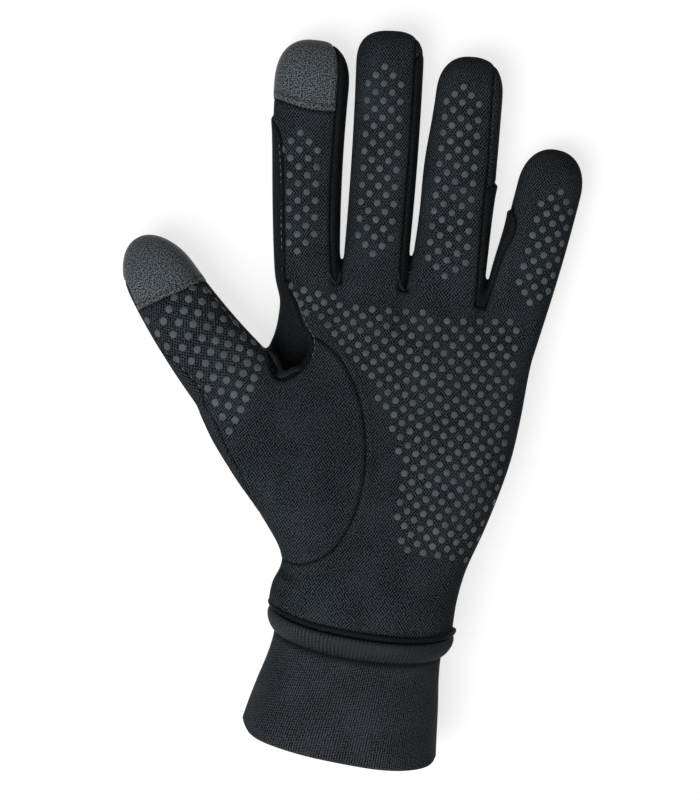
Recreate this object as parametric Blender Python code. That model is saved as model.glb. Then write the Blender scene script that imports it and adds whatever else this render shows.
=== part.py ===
"""Left touchscreen glove of stretch knit, in the shape of the hand inside it, lying on its back palm up.

Metres, +Z up. Fingers point to +Y and the thumb to -X. The origin is on the strip of the back panel that
rests on the table. Every sewn piece is a solid of its own, parted from the next one by a seam gap.
"""

import math

import bmesh
import bpy

for old in list(bpy.data.objects):
    bpy.data.objects.remove(old)

MM = 0.001

# Fabric
WALL = 1.2 * MM  # knit with its brushed lining
PATCH_PROUD = 0.25 * MM  # the touch patch stands this far above the knit
SEAM_GAP = 0.3 * MM  # between two sewn pieces
PRESSED = 0.45 * MM  # how far the resting side is pressed flat
FINGER_LIFT = 0.2 * MM  # the finger backs stand clear of the table

# Hand frame: h runs from the wrist joint to the knuckles, q across the hand to the little finger side
HAND_LEAN = 9.2  # degrees from +Y towards +X
WRIST_X = 2.9 * MM
WRIST_Y = -66.5 * MM
HAND_START = 7.0 * MM  # where the wrist fold ends and the hand panels begin
PALM_LENGTH = 100.6 * MM  # wrist joint to the index knuckle
KNUCKLE_LEFT = -45.2 * MM  # q of the index finger's outer side

# Thumb root, a straight opening in the hand's edge
ROOT_LOW_Q = -66.8 * MM
ROOT_LOW_H = 56.3 * MM
CROTCH_Q = -44.3 * MM
CROTCH_H = 76.5 * MM
WEB_EDGE = -42.9 * MM  # q of the edge between thumb and index finger

# Thumb seam on the palm, an oval round the ball of the thumb
SEAM_Q = -28.5 * MM
SEAM_H = 45.0 * MM
SEAM_HALF_WIDTH = 22.6 * MM
SEAM_HALF_LENGTH = 39.3 * MM
SEAM_SLANT = 0.109
GUSSET_LOW_H = 83.0 * MM  # where the web gusset leaves that oval
GUSSET_TOP_Q = -42.2 * MM

# Seam angles round a section: 0 is the little finger side, 90 the palm, 180 the thumb side
PALM_SEAM = 42.0
SIDE_SEAM = 205.0  # thumb panel to back panel
BACK_SEAM = -35.0  # palm panel to back panel, past the edge of the hand
WEB_BACK_SEAM = 222.0

# Cuff, measured down from the wrist joint
FOLD_END = 5.0 * MM
PIPING_RADIUS = 0.8 * MM
ROLL_HEIGHT = 6.8 * MM
ROLL_PROUD = 1.0 * MM
ELASTIC_THICKNESS = 1.2 * MM
CUFF_END = 47.5 * MM
CUFF_SHIFT = 0.9 * MM  # the cuff's centre towards the little finger side
CUFF_WALL = 2.0 * MM  # two layers of knit, folded at the open end

# Fold bands, the lengths of fabric that wrinkle where a joint bends
WRIST_SAG = 7.4 * MM  # the wrist seam hangs lower on the palm side
HEM_SAG = 10.0 * MM
AXIS_SHARE = 0.68  # height of a finger joint in the thickness, from the back

FINGER_STEP = math.radians(18)
HAND_STEP = math.radians(9)
RING_STEPS = 22


class Digit:
    """Sizes of one finger or the thumb. Lean is in degrees from +Y towards +X, at the root and at the tip."""

    def __init__(
        self, name, root, length, widths, depths, lean, dome, bands, sides, lift, slope=0.0, patch=0.0, root_ease=0.6
    ):
        self.name = name
        self.root_width = root * MM
        self.root_ease = root_ease * MM  # the finger is this much narrower than its root opening
        self.length = length * MM
        self.widths = [w * MM for w in widths]
        self.depths = [d * MM for d in depths]
        self.lean = [math.radians(a) for a in lean]
        self.dome = dome[0] * MM
        self.blunt = dome[1]
        self.base_band = bands[0] * MM
        self.mid_joint = bands[1] * MM
        self.mid_band = bands[2] * MM
        self.sides = sides
        self.lift = lift
        self.slope = math.radians(slope)
        self.patch = patch * MM
        self.ends = None


INDEX = Digit(
    "index", root=21.6, length=82, widths=(21.2, 25.6), depths=(20, 18.5), lean=(-1.8, 5.6), dome=(14, 2.5),
    bands=(14, 42, 14), sides=("radial", "ulnar"), lift=FINGER_LIFT, slope=7.2, patch=58.5,
)
MIDDLE = Digit(
    "middle", root=22.3, length=87, widths=(21.8, 23.0), depths=(20.5, 18.5), lean=(6.2, 1.8), dome=(12, 2.7),
    bands=(14, 45, 14), sides=("radial", "ulnar"), lift=FINGER_LIFT, slope=2.3,
)
RING = Digit(
    "ring", root=26.8, length=83, widths=(25.8, 22.0), depths=(20, 18), lean=(8.2, 5.2), dome=(13, 2.4),
    bands=(14, 42, 14), sides=("radial", "ulnar"), lift=FINGER_LIFT, slope=-3.0, root_ease=1.0,
)
LITTLE = Digit(
    "little", root=21.3, length=57, widths=(21.4, 22.0), depths=(18.5, 16.5), lean=(17.5, 13), dome=(14, 2.2),
    bands=(12, 28, 12), sides=("radial",), lift=FINGER_LIFT, slope=-0.3,
)
THUMB = Digit(
    "thumb", root=30.2, length=55, widths=(29.6, 23.4), depths=(25, 19.5), lean=(-38.5, -26), dome=(14, 2.3),
    bands=(11, 24, 12), sides=(), lift=3.2 * MM, patch=33.0,
)
FINGERS = (INDEX, MIDDLE, RING, LITTLE)


def profile(*pairs):
    """A smooth curve through pairs of millimetres, held level past its ends."""
    xs = [p[0] * MM for p in pairs]
    ys = [p[1] * MM for p in pairs]
    chords = [(ys[i + 1] - ys[i]) / (xs[i + 1] - xs[i]) for i in range(len(xs) - 1)]
    slopes = [chords[0]] + [(a + b) / 2 for a, b in zip(chords, chords[1:])] + [chords[-1]]

    def at(x):
        if x <= xs[0]:
            return ys[0]
        if x >= xs[-1]:
            return ys[-1]
        i = max(k for k in range(len(xs) - 1) if xs[k] <= x)
        step = xs[i + 1] - xs[i]
        u = (x - xs[i]) / step
        return (
            ys[i] * (1 + 2 * u) * (1 - u) ** 2
            + ys[i + 1] * u * u * (3 - 2 * u)
            + step * (slopes[i] * u * (1 - u) ** 2 + slopes[i + 1] * u * u * (u - 1))
        )

    return at


# Edges and thickness of the hand, as h and q or h and thickness
thumb_edge = profile(
    (-6, -30.2), (0, -30.2), (8.5, -28.4), (20, -36.2), (34, -49.4), (48, -61.2), (56.3, -66.8), (76.5, -80)
)
outer_edge = profile(
    (-6, 32), (4, 32), (14, 33.3), (27, 37), (40.5, 40.3), (53, 42.6), (66, 43.4), (88, 43.7), (102.7, 46.3)
)
thickness = profile((-12, 38), (2, 38), (22, 35), (46, 31), (74, 26.5), (101, 22))
# Half width and thickness of the cuff, measured down from the wrist joint
cuff_half = profile((0, 31.1), (8, 31.1), (15, 28.6), (30, 30.8), (47.5, 33.2))
cuff_thickness = profile((0, 38), (8, 38), (15, 35), (47.5, 40))
sag_at = profile((-7, 0), (FOLD_END / MM, WRIST_SAG / MM), (16, WRIST_SAG / MM), (47.5, HEM_SAG / MM))


def smooth(u):
    u = min(1.0, max(0.0, u))
    return u * u * (3 - 2 * u)


def mix(a, b, u):
    return a + (b - a) * u


def round_corner(phi, power):
    """A point of a unit section whose corners are fuller than a circle's, in the direction phi."""
    c = math.cos(phi)
    s = math.sin(phi)
    r = (abs(c) ** power + abs(s) ** power) ** (-1 / power)
    return c * r, s * r


def to_world(q, h, z):
    lean = math.radians(HAND_LEAN)
    return (
        WRIST_X + h * math.sin(lean) + q * math.cos(lean),
        WRIST_Y + h * math.cos(lean) - q * math.sin(lean),
        z,
    )


# Knuckle line: each finger's root is a straight piece of it
knuckles = [(KNUCKLE_LEFT, PALM_LENGTH)]
for digit in FINGERS:
    q0, h0 = knuckles[-1]
    across = digit.root_width * math.cos(digit.slope)
    along = digit.root_width * math.sin(digit.slope)
    knuckles.append((q0 + across, h0 + along))
for digit, low, high in zip(FINGERS, knuckles, knuckles[1:]):
    digit.ends = to_world(*low, 0), to_world(*high, 0)
THUMB.ends = to_world(ROOT_LOW_Q, ROOT_LOW_H, 0), to_world(CROTCH_Q, CROTCH_H, 0)
KNUCKLE_RIGHT = knuckles[-1][0]
EDGE_SHIFT = KNUCKLE_RIGHT - outer_edge(1.0)


def knuckle_height(q):
    for (qa, ha), (qb, hb) in zip(knuckles, knuckles[1:]):
        if q <= qb:
            return mix(ha, hb, max(0.0, (q - qa) / (qb - qa)))
    return knuckles[-1][1]


def hand_edges(h):
    left = thumb_edge(h)
    if h > CROTCH_H:
        left = mix(WEB_EDGE, KNUCKLE_LEFT, smooth((h - CROTCH_H) / (PALM_LENGTH - CROTCH_H)))
    right = outer_edge(h) + EDGE_SHIFT * smooth(h / PALM_LENGTH)
    return left, right


def hand_power(h):
    return mix(2.3, 2.9, smooth(h / (40 * MM)))


def hand_point(h, phi, depth):
    left, right = hand_edges(h)
    c, s = round_corner(phi, hand_power(h))
    half_thickness = thickness(h) / 2
    q = c * (right - depth if c > 0 else -left - depth)
    z = half_thickness - PRESSED + (half_thickness - depth) * s
    if depth <= 0:
        z = max(z, 0.0)
    share = (h - HAND_START) / (PALM_LENGTH - HAND_START)
    along = HAND_START + share * (knuckle_height(q) - HAND_START)
    return to_world(q, along if share > 0 else h, z)


def angle_at(h, q, depth, side):
    """The direction in which the hand's section at h passes q, on the palm side (1) or the back (-1)."""
    left, right = hand_edges(h)
    power = hand_power(h)
    across = q / (right - depth if q > 0 else -left - depth)
    across = min(0.9999, max(-0.9999, across))
    up = (1 - abs(across) ** power) ** (1 / power)
    return math.atan2(side * up, across) % (2 * math.pi)


def cuff_point(down, phi, depth):
    """A point of the wrist and cuff. The seam rings hang lower on the palm side."""
    c, s = round_corner(phi, 2.3)
    half_thickness = cuff_thickness(down) / 2
    left, right = hand_edges(-down)
    open_share = smooth((down + HAND_START) / (FOLD_END + HAND_START))
    half = mix(right if c > 0 else -left, cuff_half(down), open_share)
    q = (half - depth) * c + CUFF_SHIFT * open_share
    z = half_thickness - PRESSED + (half_thickness - depth) * s
    if depth <= 0:
        z = max(z, 0.0)
    return to_world(q, -down - sag_at(down) * max(0.0, s) ** 1.5, z)


def wrist_point(h, phi, depth):
    return cuff_point(-h, phi, depth)


def digit_centre(digit, t):
    (ax, ay, _), (bx, by, _) = digit.ends
    a, b = digit.lean
    turn = (b - a) / digit.length
    now = a + turn * t
    x = (ax + bx) / 2 + (math.cos(a) - math.cos(now)) / turn
    y = (ay + by) / 2 + (math.sin(now) - math.sin(a)) / turn
    return x, y, now


def digit_sizes(digit, t):
    u = t / digit.length
    width = mix(digit.widths[0], digit.widths[1], u)
    root = digit.root_width - digit.root_ease
    width = mix(root, width, smooth(t / digit.base_band))
    return width, mix(digit.depths[0], digit.depths[1], u)


def digit_point(digit, t, phi, depth):
    """A point of a finger's surface at the distance t from its root, or of a layer that deep under it."""
    width, thick = digit_sizes(digit, t)
    power = mix(3.0, 2.5, smooth(t / digit.length))
    half = width / 2 - depth
    half_thickness = thick / 2
    high = half_thickness - depth
    dome_start = digit.length - digit.dome
    if t > dome_start:
        u = (t - dome_start) / digit.dome
        k = (1 - u**digit.blunt) ** (1 / digit.blunt) if u < 1 else 0.0
        half *= k
        high *= k
        t = dome_start + u * (digit.dome - depth)
    x, y, lean = digit_centre(digit, t)
    (ax, ay, _), (bx, by, _) = digit.ends
    across = mix(math.atan2(by - ay, bx - ax), -lean, smooth(t / (0.3 * digit.length)))
    c, s = round_corner(phi, power)
    z = digit.lift + half_thickness - PRESSED + high * s
    if depth <= 0:
        z = max(z, digit.lift)
    return x + half * c * math.cos(across), y + half * c * math.sin(across), z


def spaced(a, b, step):
    count = max(1, round((b - a) / step))
    return [mix(a, b, i / count) for i in range(count + 1)]


def inset(point, station, depth, start, end):
    """The two seam directions of a panel, each moved in by half a seam gap."""
    moved = []
    for phi, sign in ((start, 1), (end, -1)):
        step = sign * 1e-3
        here = point(station, phi, depth)
        there = point(station, phi + step, depth)
        speed = math.dist(here, there) / abs(step)
        moved.append(phi + sign * min(SEAM_GAP / 2 / max(speed, 1e-9), 0.35 * (end - start)))
    return moved


materials = {}


def material(name, colour, roughness):
    made = bpy.data.materials.new(name)
    made.use_nodes = True
    shader = made.node_tree.nodes["Principled BSDF"]
    shader.inputs["Base Color"].default_value = (*colour, 1)
    shader.inputs["Roughness"].default_value = roughness
    materials[name] = made


material("knit", (0.020, 0.020, 0.021), 0.85)
material("smooth_knit", (0.014, 0.014, 0.015), 0.6)
material("touch_leather", (0.055, 0.055, 0.056), 0.55)
material("elastic", (0.03, 0.03, 0.03), 0.8)


def finish(name, bm, slot, pivot=(0, 0, 0)):
    """Turn a closed bmesh into a named object with its origin on its joint."""
    bmesh.ops.remove_doubles(bm, verts=bm.verts, dist=1e-7)
    bmesh.ops.recalc_face_normals(bm, faces=bm.faces)
    bmesh.ops.translate(bm, verts=bm.verts, vec=[-c for c in pivot])
    mesh = bpy.data.meshes.new(name)
    bm.to_mesh(mesh)
    bm.free()
    made = bpy.data.objects.new(name, mesh)
    made.location = pivot
    made.data.materials.append(materials[slot])
    bpy.context.collection.objects.link(made)
    return made


def skin(bm, rows, closed):
    """Quads between neighbouring rows of vertices."""
    for a, b in zip(rows, rows[1:]):
        count = len(a)
        for i in range(count if closed else count - 1):
            j = (i + 1) % count
            bm.faces.new((a[i], a[j], b[j], b[i]))


def panel(name, slot, point, stations, start, end, step, pivot=(0, 0, 0), outer=0.0, wall=WALL):
    """A sewn panel: a sector of a tube from start to end directions, one fabric layer thick.

    start and end are directions, or functions of the station and the depth."""
    bm = bmesh.new()
    layers = []
    middle = stations[len(stations) // 2]
    pick = lambda limit, s, depth: limit(s, depth) if callable(limit) else limit
    count = max(2, round((pick(end, middle, 0.0) - pick(start, middle, 0.0)) / step))
    for depth in (outer, wall):
        rows = []
        for s in stations:
            a, b = inset(point, s, depth, pick(start, s, depth), pick(end, s, depth))
            rows.append([bm.verts.new(point(s, mix(a, b, i / count), depth)) for i in range(count + 1)])
        layers.append(rows)
    out, inner = layers
    skin(bm, out, False)
    skin(bm, inner, False)
    for edge_out, edge_in in ((out[0], inner[0]), (out[-1], inner[-1])):
        skin(bm, [edge_out, edge_in], False)
    for k in (0, -1):
        skin(bm, [[r[k] for r in out], [r[k] for r in inner]], False)
    return finish(name, bm, slot, pivot)


def ring(name, slot, point, outline, steps=RING_STEPS, pivot=(0, 0, 0)):
    """A band right round a tube. Its section is a closed outline of stations and depths."""
    bm = bmesh.new()
    # steps are centred on the resting side, so that a flat strip lies along it
    turns = [math.pi * (-0.5 + (2 * i + 1) / steps) for i in range(steps)]
    rows = [[bm.verts.new(point(s, phi, depth)) for phi in turns] for s, depth in outline]
    skin(bm, rows + rows[:1], True)
    return finish(name, bm, slot, pivot)


def band(start, end, step, outer=0.0, wall=WALL):
    """The outline of a plain band between two stations."""
    along = spaced(start, end, step)
    return [(s, outer) for s in along] + [(s, wall) for s in reversed(along)]


rad = math.radians
GAP = SEAM_GAP


# Hand panels
def palm_limit(h):
    """q of the palm panel's thumb side: the oval thumb seam, then the web gusset's seam."""
    share = (h - SEAM_H) / SEAM_HALF_LENGTH
    oval = SEAM_Q + SEAM_HALF_WIDTH * math.sqrt(max(0.0, 1 - share * share)) - SEAM_SLANT * (h - SEAM_H)
    if h <= GUSSET_LOW_H:
        return oval
    start = palm_limit(GUSSET_LOW_H)
    return mix(start, GUSSET_TOP_Q, (h - GUSSET_LOW_H) / (PALM_LENGTH - GUSSET_LOW_H))


def root_limit(h):
    """q of the thumb opening's edge at h."""
    return mix(ROOT_LOW_Q, CROTCH_Q, (h - ROOT_LOW_H) / (CROTCH_H - ROOT_LOW_H))


def palm_left(h, depth):
    return angle_at(h, palm_limit(h), depth, 1)


def thumb_left(h, depth):
    if h > ROOT_LOW_H:
        return angle_at(h, root_limit(h), depth, 1)
    return mix(rad(SIDE_SEAM), math.pi, smooth((h - ROOT_LOW_H + 6 * MM) / (6 * MM)))


def back_left(h, depth):
    if h > CROTCH_H:
        return rad(WEB_BACK_SEAM)
    if h > ROOT_LOW_H:
        return angle_at(h, root_limit(h), depth, -1)
    return mix(rad(SIDE_SEAM), math.pi, smooth((h - ROOT_LOW_H + 6 * MM) / (6 * MM)))


low_rows = spaced(HAND_START + GAP, ROOT_LOW_H, 8 * MM)
root_rows = spaced(ROOT_LOW_H, CROTCH_H - GAP, 5 * MM)
web_rows = spaced(CROTCH_H + GAP, PALM_LENGTH - GAP / 2, 6 * MM)
all_rows = low_rows + root_rows[1:] + web_rows
panel("palm_panel", "knit", hand_point, all_rows, rad(BACK_SEAM), palm_left, HAND_STEP)
panel("back_panel", "knit", hand_point, all_rows, back_left, rad(360 + BACK_SEAM), HAND_STEP)
panel("thumb_panel", "knit", hand_point, low_rows + root_rows[1:], palm_left, thumb_left, HAND_STEP)
panel("web_gusset", "smooth_knit", hand_point, web_rows, palm_left, rad(WEB_BACK_SEAM), HAND_STEP)


# Wrist and cuff
wrist_z = thickness(0.0) / 2 - PRESSED
wrist_pivot = to_world(0.0, 1.0 * MM, wrist_z)
ring("wrist_fold", "knit", wrist_point, band(-FOLD_END, HAND_START, 4 * MM))
piping_at = FOLD_END + GAP + PIPING_RADIUS
ring(
    "wrist_piping", "smooth_knit", cuff_point,
    [
        (piping_at + PIPING_RADIUS * math.cos(rad(a)), PIPING_RADIUS * (1 - math.sin(rad(a))) - 0.3 * MM)
        for a in range(0, 360, 60)
    ],
    pivot=wrist_pivot,
)
roll_top = piping_at + PIPING_RADIUS + GAP
roll_end = roll_top + ROLL_HEIGHT
roll_inside = ELASTIC_THICKNESS + 2 * GAP + WALL - ROLL_PROUD
round_off = 0.35 * WALL
ring(
    "wrist_roll", "smooth_knit", cuff_point,
    [
        (roll_top, roll_inside),
        (roll_top, -ROLL_PROUD + WALL),
        (roll_top + 1.5 * round_off, -ROLL_PROUD + round_off / 2),
        (roll_top + 4 * round_off, -ROLL_PROUD),
        (roll_end - 4 * round_off, -ROLL_PROUD),
        (roll_end - 1.5 * round_off, -ROLL_PROUD + round_off / 2),
        (roll_end, -ROLL_PROUD + WALL),
        (roll_end, roll_inside),
        (roll_end - WALL, roll_inside),
        (roll_end - WALL, WALL - ROLL_PROUD),
        (roll_top + WALL, WALL - ROLL_PROUD),
        (roll_top + WALL, roll_inside),
    ],
    pivot=wrist_pivot,
)
elastic_top = roll_top + WALL + GAP
elastic_end = roll_end - WALL - GAP
elastic_outer = WALL - ROLL_PROUD + GAP
ring(
    "wrist_elastic", "elastic", cuff_point,
    [
        (elastic_top, elastic_outer),
        (elastic_end, elastic_outer),
        (elastic_end, elastic_outer + ELASTIC_THICKNESS),
        (elastic_top, elastic_outer + ELASTIC_THICKNESS),
    ],
    pivot=wrist_pivot,
)
cuff_top = roll_end + GAP
cuff_rows = spaced(cuff_top, CUFF_END - CUFF_WALL, 8 * MM)
ring(
    "cuff", "smooth_knit", cuff_point,
    [(s, 0.0) for s in cuff_rows]
    + [(CUFF_END - 0.3 * CUFF_WALL, 0.15 * CUFF_WALL), (CUFF_END, 0.5 * CUFF_WALL)]
    + [(CUFF_END - 0.3 * CUFF_WALL, 0.85 * CUFF_WALL)]
    + [(s, CUFF_WALL) for s in reversed(cuff_rows)],
    pivot=wrist_pivot,
)


# Fingers and thumb
def joint_at(digit, t):
    x, y, _ = digit_centre(digit, t)
    _, thick = digit_sizes(digit, t)
    return x, y, digit.lift - PRESSED + AXIS_SHARE * thick


def tip_rows(start, digit, step):
    """Stations from start to the end of the dome, closer together where the tip turns over."""
    dome_start = digit.length - digit.dome
    rounds = [math.sin(rad(a)) for a in (0, 28, 52, 70, 82, 88.6)]
    return spaced(start, dome_start, step)[:-1] + [dome_start + digit.dome * u for u in rounds]


LOW = rad(PALM_SEAM)
HIGH = math.pi - LOW
for digit in FINGERS + (THUMB,):
    point = lambda t, phi, depth, d=digit: digit_point(d, t, phi, depth)
    name = digit.name
    base = joint_at(digit, digit.base_band / 2)
    middle = joint_at(digit, digit.mid_joint)
    mid_start = digit.mid_joint - digit.mid_band / 2
    mid_end = digit.mid_joint + digit.mid_band / 2
    step = 5 * MM
    ring(name + "_base_fold", "knit", point, band(GAP, digit.base_band, step))
    ring(name + "_mid_fold", "knit", point, band(mid_start, mid_end, step), pivot=base)

    # lower length: palm, back and the side strips that are sewn between them
    lower = spaced(digit.base_band + GAP, mid_start - GAP, step)
    radial = "radial" in digit.sides
    ulnar = "ulnar" in digit.sides
    right = LOW if ulnar else 0.0
    left = HIGH if radial else math.pi
    front = "_front_lower" if digit is THUMB else "_palm_lower"
    back_start = 2 * math.pi - left
    panel(name + front, "knit", point, lower, right, left, FINGER_STEP, base)
    panel(name + "_back_lower", "knit", point, lower, back_start, 2 * math.pi - right, FINGER_STEP, base)
    if radial:
        panel(name + "_radial_side", "smooth_knit", point, lower, left, back_start, FINGER_STEP, base)
    if ulnar:
        panel(name + "_ulnar_side", "smooth_knit", point, lower, -right, right, FINGER_STEP, base)

    # tip: the back wraps round the sides up to the palm seam
    tip_start = mid_end + GAP
    tip = tip_rows(tip_start, digit, step)
    tip_right = LOW if digit is not LITTLE else 0.0
    front = "_front_tip" if digit is THUMB else "_palm_tip"
    if not digit.patch:
        panel(name + front, "knit", point, tip, tip_right, HIGH, FINGER_STEP, middle)
        panel(name + "_back_tip", "knit", point, tip, HIGH, 2 * math.pi + tip_right, FINGER_STEP, middle)
        continue
    # the touch patch goes on to the thumb side's edge, so the back panel gives way beside it
    below = spaced(tip_start, digit.patch - GAP, step)
    patch_rows = tip_rows(digit.patch, digit, step)
    give = lambda t, depth, d=digit: mix(HIGH, math.pi, smooth((t - d.patch + 2 * MM) / (1.6 * MM)))
    back_rows = below[:-1] + [digit.patch - 2 * MM, digit.patch - 0.4 * MM] + patch_rows
    back_rows = sorted({round(t, 7) for t in back_rows})
    below = [t for t in below if t < digit.patch - 2.4 * MM] + [digit.patch - 2.4 * MM]
    panel(name + front, "knit", point, sorted(set(below)), LOW, HIGH, FINGER_STEP, middle)
    panel(
        name + "_touch_patch", "touch_leather", point, [digit.patch - 2.1 * MM] + patch_rows,
        LOW, lambda t, depth, g=give: g(t, depth), FINGER_STEP, middle, outer=-PATCH_PROUD,
    )
    panel(name + "_back_tip", "knit", point, back_rows, give, 2 * math.pi + LOW, FINGER_STEP, middle)
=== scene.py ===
"""Left touchscreen glove of black stretch knit, palm up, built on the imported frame. Metres, +Z up."""

import math

import bpy
import numpy as np
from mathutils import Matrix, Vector
from mathutils.bvhtree import BVHTree
from mathutils.kdtree import KDTree


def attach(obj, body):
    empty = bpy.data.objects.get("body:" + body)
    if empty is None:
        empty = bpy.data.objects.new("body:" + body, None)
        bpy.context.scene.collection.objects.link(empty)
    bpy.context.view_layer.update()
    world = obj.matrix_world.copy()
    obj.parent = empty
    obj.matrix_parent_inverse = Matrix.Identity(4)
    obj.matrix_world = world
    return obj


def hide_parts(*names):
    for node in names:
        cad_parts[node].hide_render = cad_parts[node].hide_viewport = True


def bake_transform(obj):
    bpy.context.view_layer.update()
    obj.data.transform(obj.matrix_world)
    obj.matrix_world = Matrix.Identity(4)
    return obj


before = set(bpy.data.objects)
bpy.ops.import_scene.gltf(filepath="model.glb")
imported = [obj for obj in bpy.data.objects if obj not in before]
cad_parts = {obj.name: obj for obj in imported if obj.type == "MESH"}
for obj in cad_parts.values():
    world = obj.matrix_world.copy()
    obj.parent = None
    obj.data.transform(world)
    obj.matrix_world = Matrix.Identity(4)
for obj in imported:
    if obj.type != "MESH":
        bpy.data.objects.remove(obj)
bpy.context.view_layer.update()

# The hand form.
# The pieces of the glove are cut flat and sewn, and take the shape of the hand inside. That shape is made
# first, as lofted sections of the hand, the fingers and the thumb that are melted into one smooth skin.
MM = 0.001
HAND_LEAN = math.radians(9.2)
WRIST = np.array([2.9, -66.5]) * MM
ALONG = np.array([math.sin(HAND_LEAN), math.cos(HAND_LEAN)])
ACROSS = np.array([math.cos(HAND_LEAN), -math.sin(HAND_LEAN)])
HAND_START = 7.0 * MM
PALM_LENGTH = 100.6 * MM
PRESSED = 0.45 * MM
VOXEL = 0.58 * MM


def curve_through(*pairs):
    """A smooth function through pairs of millimetres, held level past its ends."""
    xs, ys = (np.array(v, float) * MM for v in zip(*pairs))
    chords = np.diff(ys) / np.diff(xs)
    slopes = np.concatenate([chords[:1], (chords[:-1] + chords[1:]) / 2, chords[-1:]])
    fine_x, fine_y = [], []
    for i in range(len(chords)):
        u = np.linspace(0, 1, 30)
        step = xs[i + 1] - xs[i]
        fine_x.append(xs[i] + u * step)
        fine_y.append(
            ys[i] * (1 + 2 * u) * (1 - u) ** 2
            + ys[i + 1] * u * u * (3 - 2 * u)
            + step * (slopes[i] * u * (1 - u) ** 2 + slopes[i + 1] * u * u * (u - 1))
        )
    fine_x, fine_y = np.concatenate(fine_x), np.concatenate(fine_y)
    return lambda x: np.interp(x, fine_x, fine_y)


def ease(u):
    u = np.clip(u, 0.0, 1.0)
    return u * u * (3 - 2 * u)


def bell(x, width):
    return np.exp(-((x / width) ** 2))


def section(phi, power):
    """Points of a unit section, fuller at the corners than a circle."""
    c, s = np.cos(phi), np.sin(phi)
    r = (np.abs(c) ** power + np.abs(s) ** power) ** (-1 / power)
    return c * r, s * r


def hand_to_world(q, h):
    return WRIST[0] + h * ALONG[0] + q * ACROSS[0], WRIST[1] + h * ALONG[1] + q * ACROSS[1]


def world_to_hand(x, y):
    dx, dy = x - WRIST[0], y - WRIST[1]
    return dx * ACROSS[0] + dy * ACROSS[1], dx * ALONG[0] + dy * ALONG[1]


thumb_edge = curve_through(
    (-20, -29.6), (-12, -30.3), (0, -30.4), (8.5, -28.4), (20, -36.2), (34, -49.4), (48, -60.8),
    (57, -65.0), (66, -58), (76.5, -45.6), (82, -43.4), (90, -42.8), (100.6, -44.0),
)
outer_edge = curve_through(
    (-20, 31), (-12, 32), (4, 32), (14, 33.3), (27, 37), (40.5, 40.3), (53, 42.6), (66, 43.6), (84, 44.2),
    (102.7, 46.4),
)
thickness = curve_through((-20, 37), (-12, 38), (2, 38), (22, 35), (46, 31), (74, 26), (101, 20.3))


class Digit:
    """Sizes of a finger or the thumb, in millimetres. Lean is in degrees from +Y towards +X.

    The insets say how far the palm face's seams lie inside the outline, on the thumb side and on the
    far side, and the strips how far up the side strips reach. The patch has its lower edge's distance
    from the root, slope and bow, and its hem's width."""

    def __init__(
        self, name, left, right, length, widths, depths, lean, dome, joints, lift, insets, strips, patch=None
    ):
        self.name = name
        self.left = np.array(hand_to_world(left[0] * MM, left[1] * MM))
        self.right = np.array(hand_to_world(right[0] * MM, right[1] * MM))
        self.root_middle = (self.left + self.right) / 2
        chord = (self.right - self.left) / np.linalg.norm(self.right - self.left)
        self.out = np.array([-chord[1], chord[0]])
        self.length = length * MM
        self.widths = [w * MM for w in widths]
        self.depths = [d * MM for d in depths]
        self.lean = [math.radians(a) for a in lean]
        self.dome, self.blunt = dome[0] * MM, dome[1]
        self.base_end, self.mid_joint, self.mid_reach = (j * MM for j in joints)
        self.split = (self.base_end + self.mid_joint - self.mid_reach) / 2
        self.lift = lift * MM
        self.left_inset, self.right_inset = (curve_through(*pairs) for pairs in insets)
        self.left_strip, self.right_strip = (s * MM for s in strips)
        self.patch = patch

    def centre(self, t):
        """Point and lean of the middle line at the distance t from the root."""
        a, b = self.lean
        turn = (b - a) / self.length
        now = a + turn * t
        x = self.root_middle[0] + (math.cos(a) - np.cos(now)) / turn
        y = self.root_middle[1] + (np.sin(now) - math.sin(a)) / turn
        return x, y, now

    def sizes(self, t):
        """Half width, half thickness and height of the middle, before the tip is rounded."""
        u = np.clip(t / self.length, -0.1, 1)
        half = (self.widths[0] + (self.widths[1] - self.widths[0]) * u) / 2
        high = (self.depths[0] + (self.depths[1] - self.depths[0]) * u) / 2
        return half, high, self.lift + high - PRESSED

    def rounding(self, t):
        u = np.clip((t - self.length + self.dome) / self.dome, 0, 1)
        return (1 - u**self.blunt) ** (1 / self.blunt)

    def power(self, t):
        return 2.9 - 0.4 * ease(t / self.length)

    def local(self, points):
        """Distance along the digit, distance to its far side, and height as a share of its thickness."""
        t = np.zeros(len(points))
        for _ in range(6):
            x, y, lean = self.centre(t)
            t = t + (points[:, 0] - x) * np.sin(lean) + (points[:, 1] - y) * np.cos(lean)
        x, y, lean = self.centre(t)
        aside = (points[:, 0] - x) * np.cos(lean) - (points[:, 1] - y) * np.sin(lean)
        _, high, middle = self.sizes(t)
        return np.stack([t, aside, (points[:, 2] - middle) / high], axis=1)

    def past_root(self, points):
        """Distance past the straight line of the root."""
        return (points[:, :2] - self.root_middle) @ self.out

    def blend_ends(self, tip):
        """Where the fabric starts and stops turning, at the base joint or at the joint of the tip."""
        if not tip:
            start, end = self.root_middle, self.root_middle + self.out * self.base_end
        else:
            start, end = (self.centre(self.mid_joint + s * self.mid_reach)[:2] for s in (-1, 1))
        return (start[0], start[1], 0.01), (end[0], end[1], 0.01)


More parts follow.
